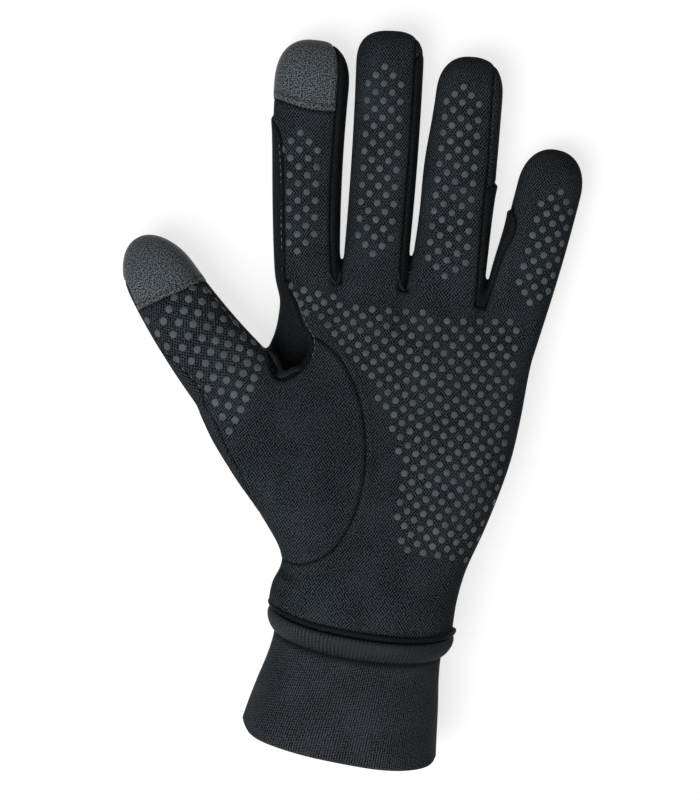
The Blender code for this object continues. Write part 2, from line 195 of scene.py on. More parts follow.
OUT_OF_SIGHT = -2
HIDDEN = ((0, OUT_OF_SIGHT), (90, OUT_OF_SIGHT))
INDEX = Digit(
    "index", left=(-46.0, 100.6), right=(-23.8, 103.3), length=82, widths=(22.0, 25.8), depths=(20.3, 18.5),
    lean=(-1.8, 5.8), dome=(16.5, 2.5), joints=(16, 42, 8), lift=0.2,
    insets=(
        ((0, 3.4), (18, 3.8), (43, 3.4), (50, 2.2), (56, -0.6), (58, OUT_OF_SIGHT)),
        ((0, 2.4), (15, 3.3), (66, 3.7), (74, 4.3), (78, 5.4), (82, 8.0)),
    ),
    strips=(56, 90), patch=(57.7, 0, 0.0125, 2.3),
)
MIDDLE = Digit(
    "middle", left=(-23.8, 103.3), right=(-1.5, 104.2), length=87.3, widths=(21.8, 23), depths=(20.6, 18.5),
    lean=(6.2, 1.8), dome=(12, 2.7), joints=(16, 45, 8), lift=0.2,
    insets=(HIDDEN, ((0, 2.2), (20, 2.7), (80, 2.9))), strips=(80, 80),
)
RING = Digit(
    "ring", left=(-1.5, 104.2), right=(25.3, 102.8), length=83, widths=(25.8, 22), depths=(20.3, 18),
    lean=(8.2, 5.2), dome=(13, 2.4), joints=(16, 42, 8), lift=0.2,
    insets=(HIDDEN, ((0, 2.4), (22, 3.1), (36, 3.3), (43, 3.0), (60, 3.4), (80, 3.6))), strips=(76, 41.4),
)
LITTLE = Digit(
    "little", left=(25.3, 102.8), right=(46.6, 102.7), length=57.5, widths=(21.4, 22), depths=(18.8, 16.5),
    lean=(17.5, 13), dome=(14, 2.2), joints=(13, 28, 8), lift=0.2,
    insets=(((0, 0.6), (9, 0.8), (18, 1.2), (28, 2.8), (34, 0.6), (38, OUT_OF_SIGHT)), HIDDEN),
    strips=(34, 0),
)
THUMB = Digit(
    "thumb", left=(-66.8, 56.3), right=(-44.3, 76.5), length=56.2, widths=(29.8, 21.4), depths=(25, 19.5),
    lean=(-40.1, -27.4), dome=(16.5, 2.05), joints=(12, 24, 8), lift=3.2,
    insets=(
        ((-10, 4.2), (6, 4.0), (14, 2.4), (22, 0.5), (34, 0.4), (46, 0.9), (52, OUT_OF_SIGHT)),
        HIDDEN,
    ),
    strips=(0, 0), patch=(33.4, -0.15, 0, 1.9),
)
FINGERS = (INDEX, MIDDLE, RING, LITTLE)
DIGITS = FINGERS + (THUMB,)
CROTCHES = np.array([-23.8, -1.5, 25.3]) * MM
# the ball of the thumb and the outer heel swell, the palm hollows between them and dips between the knuckles:
# height, place and reach across the hand, place and reach along it
SWELLS = ((2.6, -33, 20, 38, 27), (1.6, 27, 14, 34, 30), (-1.5, 2, 13, 52, 26))
VALLEY_WIDTH = 3.2 * MM
VALLEY_DEPTH = 2.6 * MM
RING_PLUMP = 0.9 * MM
LITTLE_PLUMP = 1.0 * MM
INDEX_PINCH = 2.4 * MM
ROOT_INSIDE = 14 * MM
THUMB_INSIDE = 24 * MM
ROOT_DRAWN = 0.55
WEB_HALF_WIDTH = 3.2 * MM
WEB_MIDDLE = 9.0 * MM
WEB_HALF_HEIGHT = 6.5 * MM
knuckle_line = curve_through((-45.2, 100.6), (-23.8, 103.3), (-1.5, 104.2), (25.3, 102.8), (46.6, 102.7))

loft_points, loft_faces = [], []


def tube_faces(rows, turns, first=0, joined=False):
    """Faces between the rows of a tube's points; a joined tube's last row meets its first."""
    at = lambda i, j: first + (i % rows) * turns + j % turns
    starts = [(i, j) for i in range(rows if joined else rows - 1) for j in range(turns)]
    return [(at(i, j), at(i, j + 1), at(i + 1, j + 1), at(i + 1, j)) for i, j in starts]


def tube_ends(rows, turns, first=0):
    """The two faces that close a tube."""
    last = first + (rows - 1) * turns
    return [list(reversed(range(first, first + turns))), list(range(last, last + turns))]


def add_loft(grid):
    """Join a grid of sections, rows by turns, into the form as a closed tube."""
    rows, turns = grid.shape[:2]
    first = sum(len(p) for p in loft_points)
    loft_points.append(grid.reshape(-1, 3))
    loft_faces.extend(tube_faces(rows, turns, first) + tube_ends(rows, turns, first))


def choose_only(thing):
    """Make an object the one that Blender's operators work on."""
    bpy.ops.object.select_all(action="DESELECT")
    bpy.context.view_layer.objects.active = thing
    thing.select_set(True)


def hand_section(H, PHI):
    """Points of the hand's surface at the distance H from the wrist, in the direction PHI."""
    c, s = section(PHI, 2.3 + 0.6 * ease(H / (40 * MM)))
    q = c * np.where(c > 0, outer_edge(H), -thumb_edge(H))
    half = thickness(H) / 2
    swell = 0
    for high, across, wide, along, long in SWELLS:
        swell = swell + high * MM * bell(q - across * MM, wide * MM) * bell(H - along * MM, long * MM)
    valley = sum(bell(q - crotch, VALLEY_WIDTH) for crotch in CROTCHES)
    swell -= VALLEY_DEPTH * valley * ease((H - 84 * MM) / (17 * MM))
    z = np.maximum(half - PRESSED + half * s, 0) + swell * ease(s * 1.6)
    share = (H - HAND_START) / (PALM_LENGTH - HAND_START)
    h = np.where(share > 0, HAND_START + share * (knuckle_line(q) - 1.2 * MM * valley - HAND_START), H)
    return q, h, z


turn = np.linspace(0, 2 * np.pi, 120, endpoint=False)
H, PHI = np.meshgrid(np.linspace(-20 * MM, PALM_LENGTH + 0.5 * MM, 150), turn, indexing="ij")
q, h, z = hand_section(H, PHI)
add_loft(np.stack([*hand_to_world(q, h), z], axis=-1))
for digit in DIGITS:
    inside = -THUMB_INSIDE if digit is THUMB else -ROOT_INSIDE
    dome_start = digit.length - digit.dome
    rounds = dome_start + digit.dome * np.sin(np.linspace(0, np.pi / 2, 16))[:-1]
    stations = np.concatenate([np.linspace(inside, dome_start, 60)[:-1], rounds])
    T, PHI = np.meshgrid(stations, turn, indexing="ij")
    half, high, middle = digit.sizes(T)
    k = digit.rounding(T)
    c, s = section(PHI, digit.power(T))
    x, y, lean = digit.centre(T)
    # below the knuckles a finger's back draws up into the hand, and the little finger's a little sooner
    sooner = 8 * MM if digit is LITTLE else 0
    drawn = 1 - ROOT_DRAWN * ease((sooner - T) / (ROOT_INSIDE + sooner)) * (s < 0) * (digit is not THUMB)
    z = np.maximum(middle + high * k * s * drawn, digit.lift)
    aside = half * k * c
    # two fingers are fuller on their thumb side, and the index finger narrows towards the web
    thumb_side = np.maximum(-c, 0)
    if digit is RING:
        aside -= RING_PLUMP * bell(T - 46 * MM, 14 * MM) * thumb_side
    elif digit is LITTLE:
        aside -= LITTLE_PLUMP * bell(T - 14 * MM, 14 * MM) * thumb_side
    elif digit is INDEX:
        aside += INDEX_PINCH * ease((4 * MM - T) / (16 * MM)) * thumb_side
    add_loft(np.stack([x + aside * np.cos(lean), y - aside * np.sin(lean), z], axis=-1))
# a small web closes the gap between two fingers at the crotch
for crotch, above, lean, reach in zip(CROTCHES, (2.5, 4.5, 1.5), (2.0, 5.0, 12.0), (5.5, 7.5, 4.5)):
    x, y = hand_to_world(crotch, knuckle_line(crotch) + above * MM)
    lean = math.radians(lean)
    ROW, PHI = np.meshgrid(np.linspace(-0.96, 0.96, 17), turn, indexing="ij")
    round_it = np.sqrt(1 - ROW**2)
    ahead = reach * MM * round_it * np.sin(PHI)
    aside = WEB_HALF_WIDTH * round_it * np.cos(PHI)
    web = [x + aside * np.cos(lean) + ahead * np.sin(lean), y - aside * np.sin(lean) + ahead * np.cos(lean)]
    add_loft(np.stack([*web, WEB_MIDDLE + WEB_HALF_HEIGHT * ROW], axis=-1))

form_mesh = bpy.data.meshes.new("hand_form")
form_mesh.from_pydata(np.concatenate(loft_points).tolist(), [], loft_faces)
form = bpy.data.objects.new("hand_form", form_mesh)
bpy.context.collection.objects.link(form)
choose_only(form)
melt = form.modifiers.new("melt", "REMESH")
melt.mode = "VOXEL"
melt.voxel_size = VOXEL
bpy.ops.object.modifier_apply(modifier=melt.name)


def relax_form(name, iterations, group=""):
    """Smooth the form, or only a group of its points."""
    relax = form.modifiers.new(name, "SMOOTH")
    relax.factor = 0.5
    relax.iterations = iterations
    relax.vertex_group = group
    bpy.ops.object.modifier_apply(modifier=relax.name)


def read_points(mesh):
    found = np.empty(len(mesh.vertices) * 3)
    mesh.vertices.foreach_get("co", found)
    return found.reshape(-1, 3)


relax_form("relax", 12)
# the roots of the fingers and the thumb get a second, stronger smoothing
ROOT_LEVELS = 10
rest = read_points(form.data)
q, h = world_to_hand(rest[:, 0], rest[:, 1])
root_group = form.vertex_groups.new(name="roots")
finger_root = bell(h - knuckle_line(q) + 1 * MM, 8 * MM) * (q > -50 * MM)
thumb_root = bell(THUMB.past_root(rest), 9 * MM) * (q < -40 * MM) * ease((77 * MM - h) / (8 * MM))
at_root = np.round(np.maximum(finger_root, thumb_root) * ROOT_LEVELS)
for level in range(1, ROOT_LEVELS + 1):
    root_group.add(np.flatnonzero(at_root == level).tolist(), level / ROOT_LEVELS, "REPLACE")
relax_form("relax_roots", 60, root_group.name)

place = read_points(form.data)
form.data.calc_loop_triangles()
triangles = np.empty(len(form.data.loop_triangles) * 3, int)
form.data.loop_triangles.foreach_get("vertices", triangles)
triangles = triangles.reshape(-1, 3)
bpy.data.objects.remove(form)

# The pattern pieces.
# The skin is parted along the seam lines into palm, thumb panel, gusset, side strips, back and touch patches.
# Its triangles are first split along those lines, so that every piece has a clean sewn edge.
KNIT, THUMB_KNIT, SMOOTH, BACK, PATCH = range(5)


def smooth_outline(*corners):
    """A closed curve through corners of the hand in millimetres, as an array of points."""
    ends = np.array(corners, float) * MM
    found = []
    for i in range(len(ends)):
        a, b, c, d = (ends[(i + k) % len(ends)] for k in (-1, 0, 1, 2))
        for u in np.linspace(0, 1, 8, endpoint=False):
            found.append(
                b + 0.5 * u * (c - a + u * (2 * a - 5 * b + 4 * c - d + u * (3 * (b - c) + d - a)))
            )
    return np.array(found)


def outline_depth(q, h, outline):
    """Distance inside a closed outline, negative outside."""
    spot = np.stack([q, h], axis=1)
    nearest = np.full(len(q), 1.0)
    inside = np.zeros(len(q), bool)
    for a, b in zip(outline, np.roll(outline, -1, axis=0)):
        side = b - a
        along = np.clip(((spot - a) @ side) / (side @ side), 0, 1)
        nearest = np.minimum(nearest, np.linalg.norm(spot - a - along[:, None] * side, axis=1))
        level = (a[1] > h) != (b[1] > h)
        inside ^= level & (q < a[0] + (h - a[1]) * side[0] / (side[1] if side[1] else 1e-12))
    return np.where(inside, nearest, -nearest)


GUSSET = smooth_outline(
    (-44.3, 76.6), (-52, 82), (-54, 95), (-54, 106), (-43, 104), (-40.5, 98.5), (-37.6, 94.3), (-34, 87.6),
    (-30.4, 83.7), (-29.3, 79), (-30.9, 74), (-34.6, 69.6), (-38.6, 67.9), (-41.6, 70.5),
)
OVAL_CENTRE = (-28.5 * MM, 46.1 * MM)
OVAL_HALF = (22.6 * MM, 38.0 * MM)
OVAL_SLANT = 0.109


def oval_depth(q, h):
    """How far inside the thumb seam's oval a point of the hand lies."""
    down = h - OVAL_CENTRE[1]
    x = q - OVAL_CENTRE[0] + OVAL_SLANT * down
    wide = np.where(x > 0, OVAL_HALF[0], OVAL_HALF[0] + 1.2 * np.maximum(h - 12 * MM, 0))
    return (1 - np.hypot(x / wide, down / OVAL_HALF[1])) * 26 * MM


edge_inset = curve_through(
    (14, -2), (24, 0.5), (36, 3.4), (46, 4.3), (50, 4.4), (54.3, 3.2), (58, 1.6), (80, 1.4)
)
WIDEST = 57 * MM
# the oval's seam ends at the web, and the thumb edge's seam is looked for only on the thumb side
OVAL_TOP = 86 * MM
EDGE_ZONE = -20 * MM
# rise is a share of the half thickness; this makes it a length to compare with the others
RISE_LENGTH = 8 * MM
HAND_BACK_EDGE = 0.5
PIPING_DOWN = 5.6 * MM
PIPING_SAG = 5.4 * MM


def edge_depth(q, h):
    """How far inside the seam along the hand's thumb edge a point below the thumb's root lies."""
    return np.where(h < WIDEST + 3 * MM, q - thumb_edge(np.minimum(h, WIDEST)) - edge_inset(h), 1 * MM)


def piping_height(rise):
    """The wrist seam's place on the hand: it hangs lower on the palm side."""
    return -PIPING_DOWN - PIPING_SAG * np.maximum(rise, 0) ** 1.5


def measure(points):
    """Where points of the skin lie on the hand and along each digit."""
    found = dict(zip("qh", world_to_hand(points[:, 0], points[:, 1])))
    half = thickness(found["h"]) / 2
    found["rise"] = (points[:, 2] - half + PRESSED) / half
    for digit in DIGITS:
        found[digit.name] = digit.local(points)
    return found


def owners(points, found):
    """0 for the hand, or the number of the finger or thumb that each point belongs to."""
    lanes = np.stack([np.abs(found[d.name][:, 1]) / d.sizes(found[d.name][:, 0])[0] for d in FINGERS])
    nearest = lanes.argmin(axis=0)
    owner = np.zeros(len(points), int)
    for i, digit in enumerate(DIGITS):
        t, aside, _ = found[digit.name].T
        mine = digit.past_root(points) > 0
        if digit is THUMB:
            mine &= (np.abs(aside) < digit.sizes(t)[0] + 1.5 * MM) & (found["q"] < -44.4 * MM)
        else:
            mine &= (nearest == i) & (np.abs(aside) < 19 * MM)
        owner[mine] = i + 1
    return owner


def palm_depth(digit, spot):
    """How far inside the seams of a digit's palm face a point lies."""
    t, aside, rise = spot.T
    half = digit.sizes(t)[0]
    right = half - digit.right_inset(t) - aside
    left = aside + half - digit.left_inset(t)
    seam = np.full(len(t), 0.12)
    if digit is LITTLE:
        # on its outer side the seam comes down to meet the hand's
        seam += 0.365 * ease((20 * MM - t) / (20 * MM)) * (aside > 0)
    return np.minimum(np.minimum(right, left), (rise + seam) * RISE_LENGTH)


def back_depth(rise, edge=0.6):
    """How far past the edge of the back a point lies."""
    return (-edge - rise) * RISE_LENGTH


def patch_depth(digit, spot):
    """How far above the lower edge of its touch patch a point lies; the index finger's edge is bowed."""
    start, slope, bow, _ = digit.patch
    t, aside, _ = spot.T
    return t - start * MM - slope * aside - bow * (aside - 5 * MM) ** 2 / MM


def strip_depth(digit, spot):
    """How far below its slanted end a point of a side strip lies."""
    t, aside, _ = spot.T
    half = digit.sizes(t)[0]
    return np.where(aside > 0, digit.right_strip - half + aside, digit.left_strip - half - aside) - t


def triangle_sides(corners):
    return np.concatenate([corners[:, [0, 1]], corners[:, [1, 2]], corners[:, [2, 0]]])


def cut_along(depth, mask):
    """Split the skin's triangles where the depth is zero, after sliding near vertices on to that line."""
    global place, triangles
    depth = depth.copy()
    ends = triangle_sides(triangles)
    edges, which = np.unique(ends.min(axis=1) * len(place) + ends.max(axis=1), return_inverse=True)
    a, b = np.divmod(edges, len(place))
    crossing = mask[a] & mask[b] & (depth[a] * depth[b] < 0)
    share = np.where(crossing, depth[a] / np.where(crossing, depth[a] - depth[b], 1), 0)
    close = np.flatnonzero(crossing & (np.abs(share - 0.5) > 0.2))
    first = share[close] < 0.5
    mover = np.where(first, a[close], b[close])
    target = np.where(first, b[close], a[close])
    part = np.where(first, share[close], 1 - share[close])[:, None]
    mover, pick = np.unique(mover, return_index=True)
    target, part = target[pick], part[pick]
    place[mover] += (place[target] - place[mover]) * part
    for value in spots.values():
        step = part if value.ndim > 1 else part[:, 0]
        value[mover] += (value[target] - value[mover]) * step
    depth[mover] = 0
    crossing = mask[a] & mask[b] & (depth[a] * depth[b] < 0)
    ca, cb = a[crossing], b[crossing]
    part = (depth[ca] / (depth[ca] - depth[cb]))[:, None]
    added = np.full(len(edges), -1)
    added[crossing] = len(place) + np.arange(len(ca))
    place = np.concatenate([place, place[ca] + (place[cb] - place[ca]) * part])
    for key, value in spots.items():
        step = part if value.ndim > 1 else part[:, 0]
        spots[key] = np.concatenate([value, value[ca] + (value[cb] - value[ca]) * step])
    cuts = added[which.reshape(3, -1).T]
    count = (cuts >= 0).sum(axis=1)
    kept = [triangles[count == 0]]
    for i in range(3):
        j, k = (i + 1) % 3, (i + 2) % 3
        one = (count == 1) & (cuts[:, i] >= 0)
        v, n = triangles[one], cuts[one, i]
        kept += [np.stack(three, 1) for three in ([v[:, i], n, v[:, k]], [n, v[:, j], v[:, k]])]
        two = (count == 2) & (cuts[:, k] < 0)
        v, n, m = triangles[two], cuts[two, i], cuts[two, j]
        corners = ([n, v[:, j], m], [v[:, i], n, m], [v[:, i], m, v[:, k]])
        kept += [np.stack(three, 1) for three in corners]
    triangles = np.concatenate(kept)


# each cut adds points, so what the next one needs is measured anew
spots = measure(place)
for number, digit in enumerate(DIGITS, 1):
    spot = lambda: spots[digit.name]
    inside = lambda: palm_depth(digit, spot())
    own = lambda: (owners(place, spots) == number) & (spot()[:, 0] > -4 * MM)
    cut_along(inside(), own())
    if digit.left_strip or digit.right_strip:
        cut_along(back_depth(spot()[:, 2]), own() & (inside() < VOXEL))
        cut_along(strip_depth(digit, spot()), own() & (inside() < VOXEL))
    if digit.patch:
        cut_along(patch_depth(digit, spot()), own() & (inside() > -VOXEL))
on_hand = lambda: owners(place, spots) == 0
facing = lambda: spots["rise"] > -0.3
cut_along(outline_depth(spots["q"], spots["h"], GUSSET), on_hand() & facing())
cut_along(oval_depth(spots["q"], spots["h"]), on_hand() & facing() & (spots["h"] < OVAL_TOP))
cut_along(edge_depth(spots["q"], spots["h"]), on_hand() & (spots["q"] < EDGE_ZONE))
cut_along(back_depth(spots["rise"], HAND_BACK_EDGE), on_hand())
cut_along(spots["h"] - piping_height(spots["rise"]), on_hand())


def centres():
    """The middle of every triangle, as a place and as its coordinates on the hand and digits."""
    return place[triangles].mean(axis=1), {key: value[triangles].mean(axis=1) for key, value in spots.items()}


_, found = centres()
triangles = triangles[found["h"] > piping_height(found["rise"])]
middle, found = centres()
owner = owners(middle, found)
cloth = np.full(len(triangles), KNIT)
hand = owner == 0
q, h = found["q"], found["h"]
cloth[hand & (oval_depth(q, h) > 0) & (h < OVAL_TOP)] = THUMB_KNIT
cloth[hand & (outline_depth(q, h, GUSSET) > 0)] = SMOOTH
cloth[hand & (edge_depth(q, h) < 0) & (q < EDGE_ZONE)] = BACK
cloth[hand & (back_depth(found["rise"], HAND_BACK_EDGE) > 0)] = BACK
for number, digit in enumerate(DIGITS, 1):
    spot = found[digit.name]
    mine = owner == number
    outside = mine & (palm_depth(digit, spot) < 0)
    if digit is THUMB:
        cloth[mine] = THUMB_KNIT
    cloth[outside] = BACK
    if digit.left_strip or digit.right_strip:
        cloth[outside & (back_depth(spot[:, 2]) < 0) & (strip_depth(digit, spot) > 0)] = SMOOTH
    if digit.patch:
        cloth[mine & ~outside & (patch_depth(digit, spot) > 0)] = PATCH

# The sewn seams.
# Where two pieces meet, their edges are turned in and sewn, so the fabric dips into a narrow groove and
# swells beside it. The web by the thumb folds into a pocket, and the wrist's thumb side lies in soft folds.
GROOVE = 0.65 * MM
GROOVE_WIDTH = 0.48 * MM
SWELL = 0.25 * MM
POCKET = 8.0 * MM
HEM_DEPTH = 0.5 * MM
EAR = 1.0 * MM


def outward():
    """Outward directions of the skin's vertices."""
    a, b, c = (place[triangles[:, i]] for i in range(3))
    face = np.cross(b - a, c - a)
    total = [np.bincount(triangles.ravel(), np.repeat(face[:, k], 3), len(place)) for k in range(3)]
    total = np.stack(total, axis=1)
    return total / np.maximum(np.linalg.norm(total, axis=1, keepdims=True), 1e-12)


def ripples(high, along, pitch):
    """Waves in the fabric that follow each other along a direction, a pitch apart."""
    return high * np.cos(along * 2 * np.pi / pitch)


q, h = spots["q"], spots["h"]
in_web = outline_depth(q, h, GUSSET)
low_web = ease((91 * MM - h) / (20 * MM)) * ease((spots["rise"] + 0.6) / 0.8)
sunk = ease(in_web / (3 * MM)) * low_web
place[:, 2] -= POCKET * sunk
normal = outward()
seen_side = ease(normal[:, 2] * 1.5)
fold = ripples(0.5 * MM, 0.6 * q + h, 7 * MM) * bell(q + 26 * MM, 8 * MM) * bell(h - 3 * MM, 6 * MM)
gathers = ripples(0.1 * MM, q, 3.1 * MM) * bell(h - piping_height(spots["rise"]), 4 * MM)
slack = ripples(0.3 * MM, h - 0.35 * q, 9 * MM) * bell(h - 12 * MM, 10 * MM) * bell(q + 16 * MM, 16 * MM)
place += normal * ((fold + gathers + slack) * seen_side)[:, None]

sides = triangle_sides(triangles)
keys = sides.min(axis=1) * len(place) + sides.max(axis=1)
order = np.argsort(keys, kind="stable")
twins = keys[order][1:] == keys[order][:-1]
first, second = order[:-1][twins], order[1:][twins]
sewn = cloth[first % len(triangles)] != cloth[second % len(triangles)]
ends = place[sides[first[sewn]]]
seam_points = np.concatenate([ends[:, 0], ends.mean(axis=1), ends[:, 1]])
seam_tree = KDTree(len(seam_points))
for i, point in enumerate(seam_points):
    seam_tree.insert(point, i)
seam_tree.balance()
to_seam = np.array([seam_tree.find(point)[2] for point in place])
normal = outward()
press = SWELL * bell(to_seam - 1.8 * MM, 1.0 * MM) - GROOVE * bell(to_seam, GROOVE_WIDTH)
press *= np.clip(1.4 * np.abs(normal[:, 2]) + 0.15, 0.15, 1)
hemmed = np.zeros(len(place))
for number, digit in ((1, INDEX), (5, THUMB)):
    spot = spots[digit.name]
    hem = patch_depth(digit, spot) - digit.patch[3] * MM
    hem_line = bell(hem, 0.38 * MM) * (palm_depth(digit, spot) > -0.5 * MM) * (normal[:, 2] > 0.2)
    hemmed = np.maximum(hemmed, hem_line * (owners(place, spots) == number))
press -= HEM_DEPTH * hemmed
place += normal * press[:, None]
# the upper end of a side strip stands out a little from the finger
for number, digit, sign, end in (
    (1, INDEX, -1, INDEX.left_strip), (3, RING, 1, RING.right_strip), (4, LITTLE, -1, LITTLE.left_strip)
):
    t, aside, _ = spots[digit.name].T
    _, _, lean = digit.centre(t)
    below = np.maximum(end - t, 0)
    ear = EAR * ease(below / (1.2 * MM)) * np.exp(-below / (7 * MM)) * (owners(place, spots) == number)
    ear *= ease((sign * aside / digit.sizes(t)[0] - 0.75) / 0.2)
    place[:, 0] += sign * ear * np.cos(lean)
    place[:, 1] -= sign * ear * np.sin(lean)
normal = outward()
# painted shade in the grooves, the hems and the web's pocket, where threads and turned edges keep light out
shadow = np.maximum(np.maximum(0.85 * bell(to_seam, 0.36 * MM), 0.95 * sunk), 0.75 * hemmed)
skin = BVHTree.FromPolygons(place.tolist(), triangles.tolist())

# The knit panels: palm, thumb and back of the hand, and the palm faces and backs of the fingers.
# Black stretch knit with a fine slanting grain, cut to pattern and sewn at the edges. Each finger's panels
# are divided where nothing bends, into a part by the base joint and a part by the tip's.
KNIT_THICKNESS = 1.1 * MM
STRETCH = 1.06
MOST_STRETCH = 1.3
LEAST_FLAT = 10.1 * MM
FLAT_ROOM = 1.002
BUMP_HEIGHT = 0.12 * MM
LINT = (0.12, 0.12, 0.12)
# the colour the knit goes to where shade is painted, by the shadow attribute
PAINTED_SHADE = (0.001, 0.001, 0.001)


def add(tree, kind, inputs, **settings):
    """Add a shader node; an input is a constant or another node's output."""
    made = tree.nodes.new("ShaderNode" + kind)
    for key, value in settings.items():
        setattr(made, key, value)
    for key, value in inputs.items():
        if isinstance(value, bpy.types.NodeSocket):
            tree.links.new(value, made.inputs[key])
        else:
            made.inputs[key].default_value = value
    return made


def calc(tree, operation, *values):
    """The result of a Math node."""
    return add(tree, "Math", dict(enumerate(values)), operation=operation).outputs[0]


def remap(tree, value, *ends):
    """A value taken from one range, low and high, to another."""
    return add(tree, "MapRange", dict(enumerate((value, *ends)))).outputs[0]


def noise(tree, coords, scale, detail, roughness=0.5):
    settings = {"Vector": coords, "Scale": scale, "Detail": detail, "Roughness": roughness}
    return add(tree, "TexNoise", settings).outputs["Fac"]


def mix(tree, share, *colours):
    """A mix of two colours, each of three numbers or another node's output."""
    first, second = (c if isinstance(c, bpy.types.NodeSocket) else (*c, 1) for c in colours)
    return add(tree, "MixRGB", {"Fac": share, "Color1": first, "Color2": second}).outputs[0]


def object_place(tree):
    return add(tree, "TexCoord", {}).outputs["Object"]


def cloth_map(tree):
    return add(tree, "UVMap", {}, uv_map="cloth").outputs["UV"]


def new_material(name, roughness, specular):
    """A material with the given finish, its node tree and its shader."""
    material = bpy.data.materials.new(name)
    material.use_nodes = True
    shader = material.node_tree.nodes["Principled BSDF"]
    shader.inputs["Roughness"].default_value = roughness
    shader.inputs["Specular IOR Level"].default_value = specular
    return material, material.node_tree, shader


def dress(tree, shader, colour, height=None, relief=0.0):
    """Link a colour, and a bump where there is a height, to a shader."""
    tree.links.new(colour, shader.inputs["Base Color"])
    if height is not None:
        bump = add(tree, "Bump", {"Height": height, "Strength": relief, "Distance": BUMP_HEIGHT})
        tree.links.new(bump.outputs[0], shader.inputs["Normal"])


def in_shade(tree, colour, shade):
    """The colour with painted shade: darker where the piece's shadow attribute says so."""
    return mix(tree, add(tree, "Attribute", {}, attribute_name="shadow").outputs["Fac"], colour, shade)


def waves(tree, coords, angle, pitch):
    """Bands with a sine profile across the angle, from 0 to 1."""
    turned = add(tree, "Mapping", {"Vector": coords, "Rotation": (0, 0, angle)})
    settings = {"Vector": turned.outputs[0], "Scale": math.pi / 10 / pitch, "Distortion": 1.1, "Detail": 1.0}
    return add(tree, "TexWave", settings, wave_type="BANDS", bands_direction="X").outputs["Fac"]


def knit_material(name, dark, light, pitches, angles, weights, roughness, specular, relief):
    """Knit of two crossing bands of loops, by pitch, angle and weight, uneven tone, a little lint and painted
    shade.
    """
    material, tree, shader = new_material(name, roughness, specular)
    on_object, on_cloth = object_place(tree), cloth_map(tree)
    bands = [waves(tree, on_cloth, math.radians(a), p * MM) for a, p in zip(angles, pitches)]
    loops = calc(tree, "MULTIPLY", bands[0], weights[0])
    loops = calc(tree, "MULTIPLY_ADD", bands[1], weights[1], loops)
    fuzz = remap(tree, noise(tree, on_cloth, 2000.0, 2.0), 0.25, 0.75, -0.6, 0.6)
    grain = remap(tree, calc(tree, "ADD", loops, fuzz), 0.22, 0.86, 0.0, 1.0)
    cloudy = remap(tree, noise(tree, on_object, 90.0, 3.0), 0.3, 0.7, -0.12, 0.12)
    colour = mix(tree, calc(tree, "ADD", grain, cloudy), dark, light)
    specks = remap(tree, noise(tree, on_object, 1500.0, 1.0), 0.76, 0.8, 0.0, 0.55)
    colour = mix(tree, specks, colour, LINT)
    dress(tree, shader, in_shade(tree, colour, PAINTED_SHADE), grain, relief)
    return material


knit = knit_material(
    "stretch_knit", dark=(0.0008, 0.0014, 0.002), light=(0.049, 0.057, 0.064), pitches=(0.8, 0.82),
    angles=(33, -38), weights=(0.55, 0.45), roughness=0.85, specular=0.03, relief=0.8,
)


def arc_table(half, high, power):
    """Angles round a section and the distance along it from the palm's middle, positive on the far side."""
    phi = np.linspace(-np.pi / 2, 3 * np.pi / 2, 721)
    c, s = section(phi, power)
    run = np.concatenate([[0], np.cumsum(np.hypot(np.diff(half * c), np.diff(high * s)))])
    return phi, run[360] - run


HAND_ARC = arc_table(45 * MM, 15 * MM, 2.9)
DIGIT_ARC = arc_table(11.3 * MM, 10 * MM, 2.7)


def cloth_place(found, digit, from_back):
    """Place of points on the flat cloth: the distance across, round the section, and along."""
    if digit:
        along, across, rise = found[digit.name].T
        wide = digit.sizes(along)[0]
        phi, run = DIGIT_ARC
    else:
        across, along, rise = found["q"], found["h"], found["rise"]
        if not from_back:
            down_side = RISE_LENGTH * np.maximum(0.6 - rise, 0)
            return np.stack([across + np.sign(across) * down_side, along], axis=1)
        wide = np.where(across > 0, outer_edge(along), -thumb_edge(along))
        phi, run = HAND_ARC
    angle = np.arctan2(rise, across / wide)
    angle = np.where(angle < -np.pi / 2, angle + 2 * np.pi, angle)
    u = np.interp(angle, phi, run)
    if from_back:
        u = np.where(u > 0, run[0] - u, run[-1] - u)
    return np.stack([u, along], axis=1)


def turn_with(piece, digit, tip):
    """Bake the piece's place into its mesh; for a digit, the ends of the turn at its base or below its tip
    are worked out but not used.
    """
    if digit is None:
        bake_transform(piece)
    elif tip:
        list(digit.blend_ends(True))
        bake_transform(piece)
    else:
        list(digit.blend_ends(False))
        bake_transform(piece)


def new_piece(name, points, faces, material, flat=None, dark=None):
    """A smooth piece, with the place on the flat cloth and the painted shade of each of its points."""
    mesh = bpy.data.meshes.new(name)
    mesh.from_pydata(points.reshape(-1, 3).tolist(), [], faces)
    if flat is not None:
        corner_at = np.empty(len(mesh.loops), np.int32)
        mesh.loops.foreach_get("vertex_index", corner_at)
        mesh.uv_layers.new(name="cloth").data.foreach_set("uv", flat.reshape(-1, 2)[corner_at].ravel())
    mesh.polygons.foreach_set("use_smooth", np.ones(len(mesh.polygons), bool))
    if dark is not None:
        dim = mesh.attributes.new("shadow", "FLOAT", "POINT")
        dim.data.foreach_set("value", dark.ravel().astype(np.float32))
    mesh.materials.append(material)
    piece = bpy.data.objects.new(name, mesh)
    bpy.context.collection.objects.link(piece)
    return piece


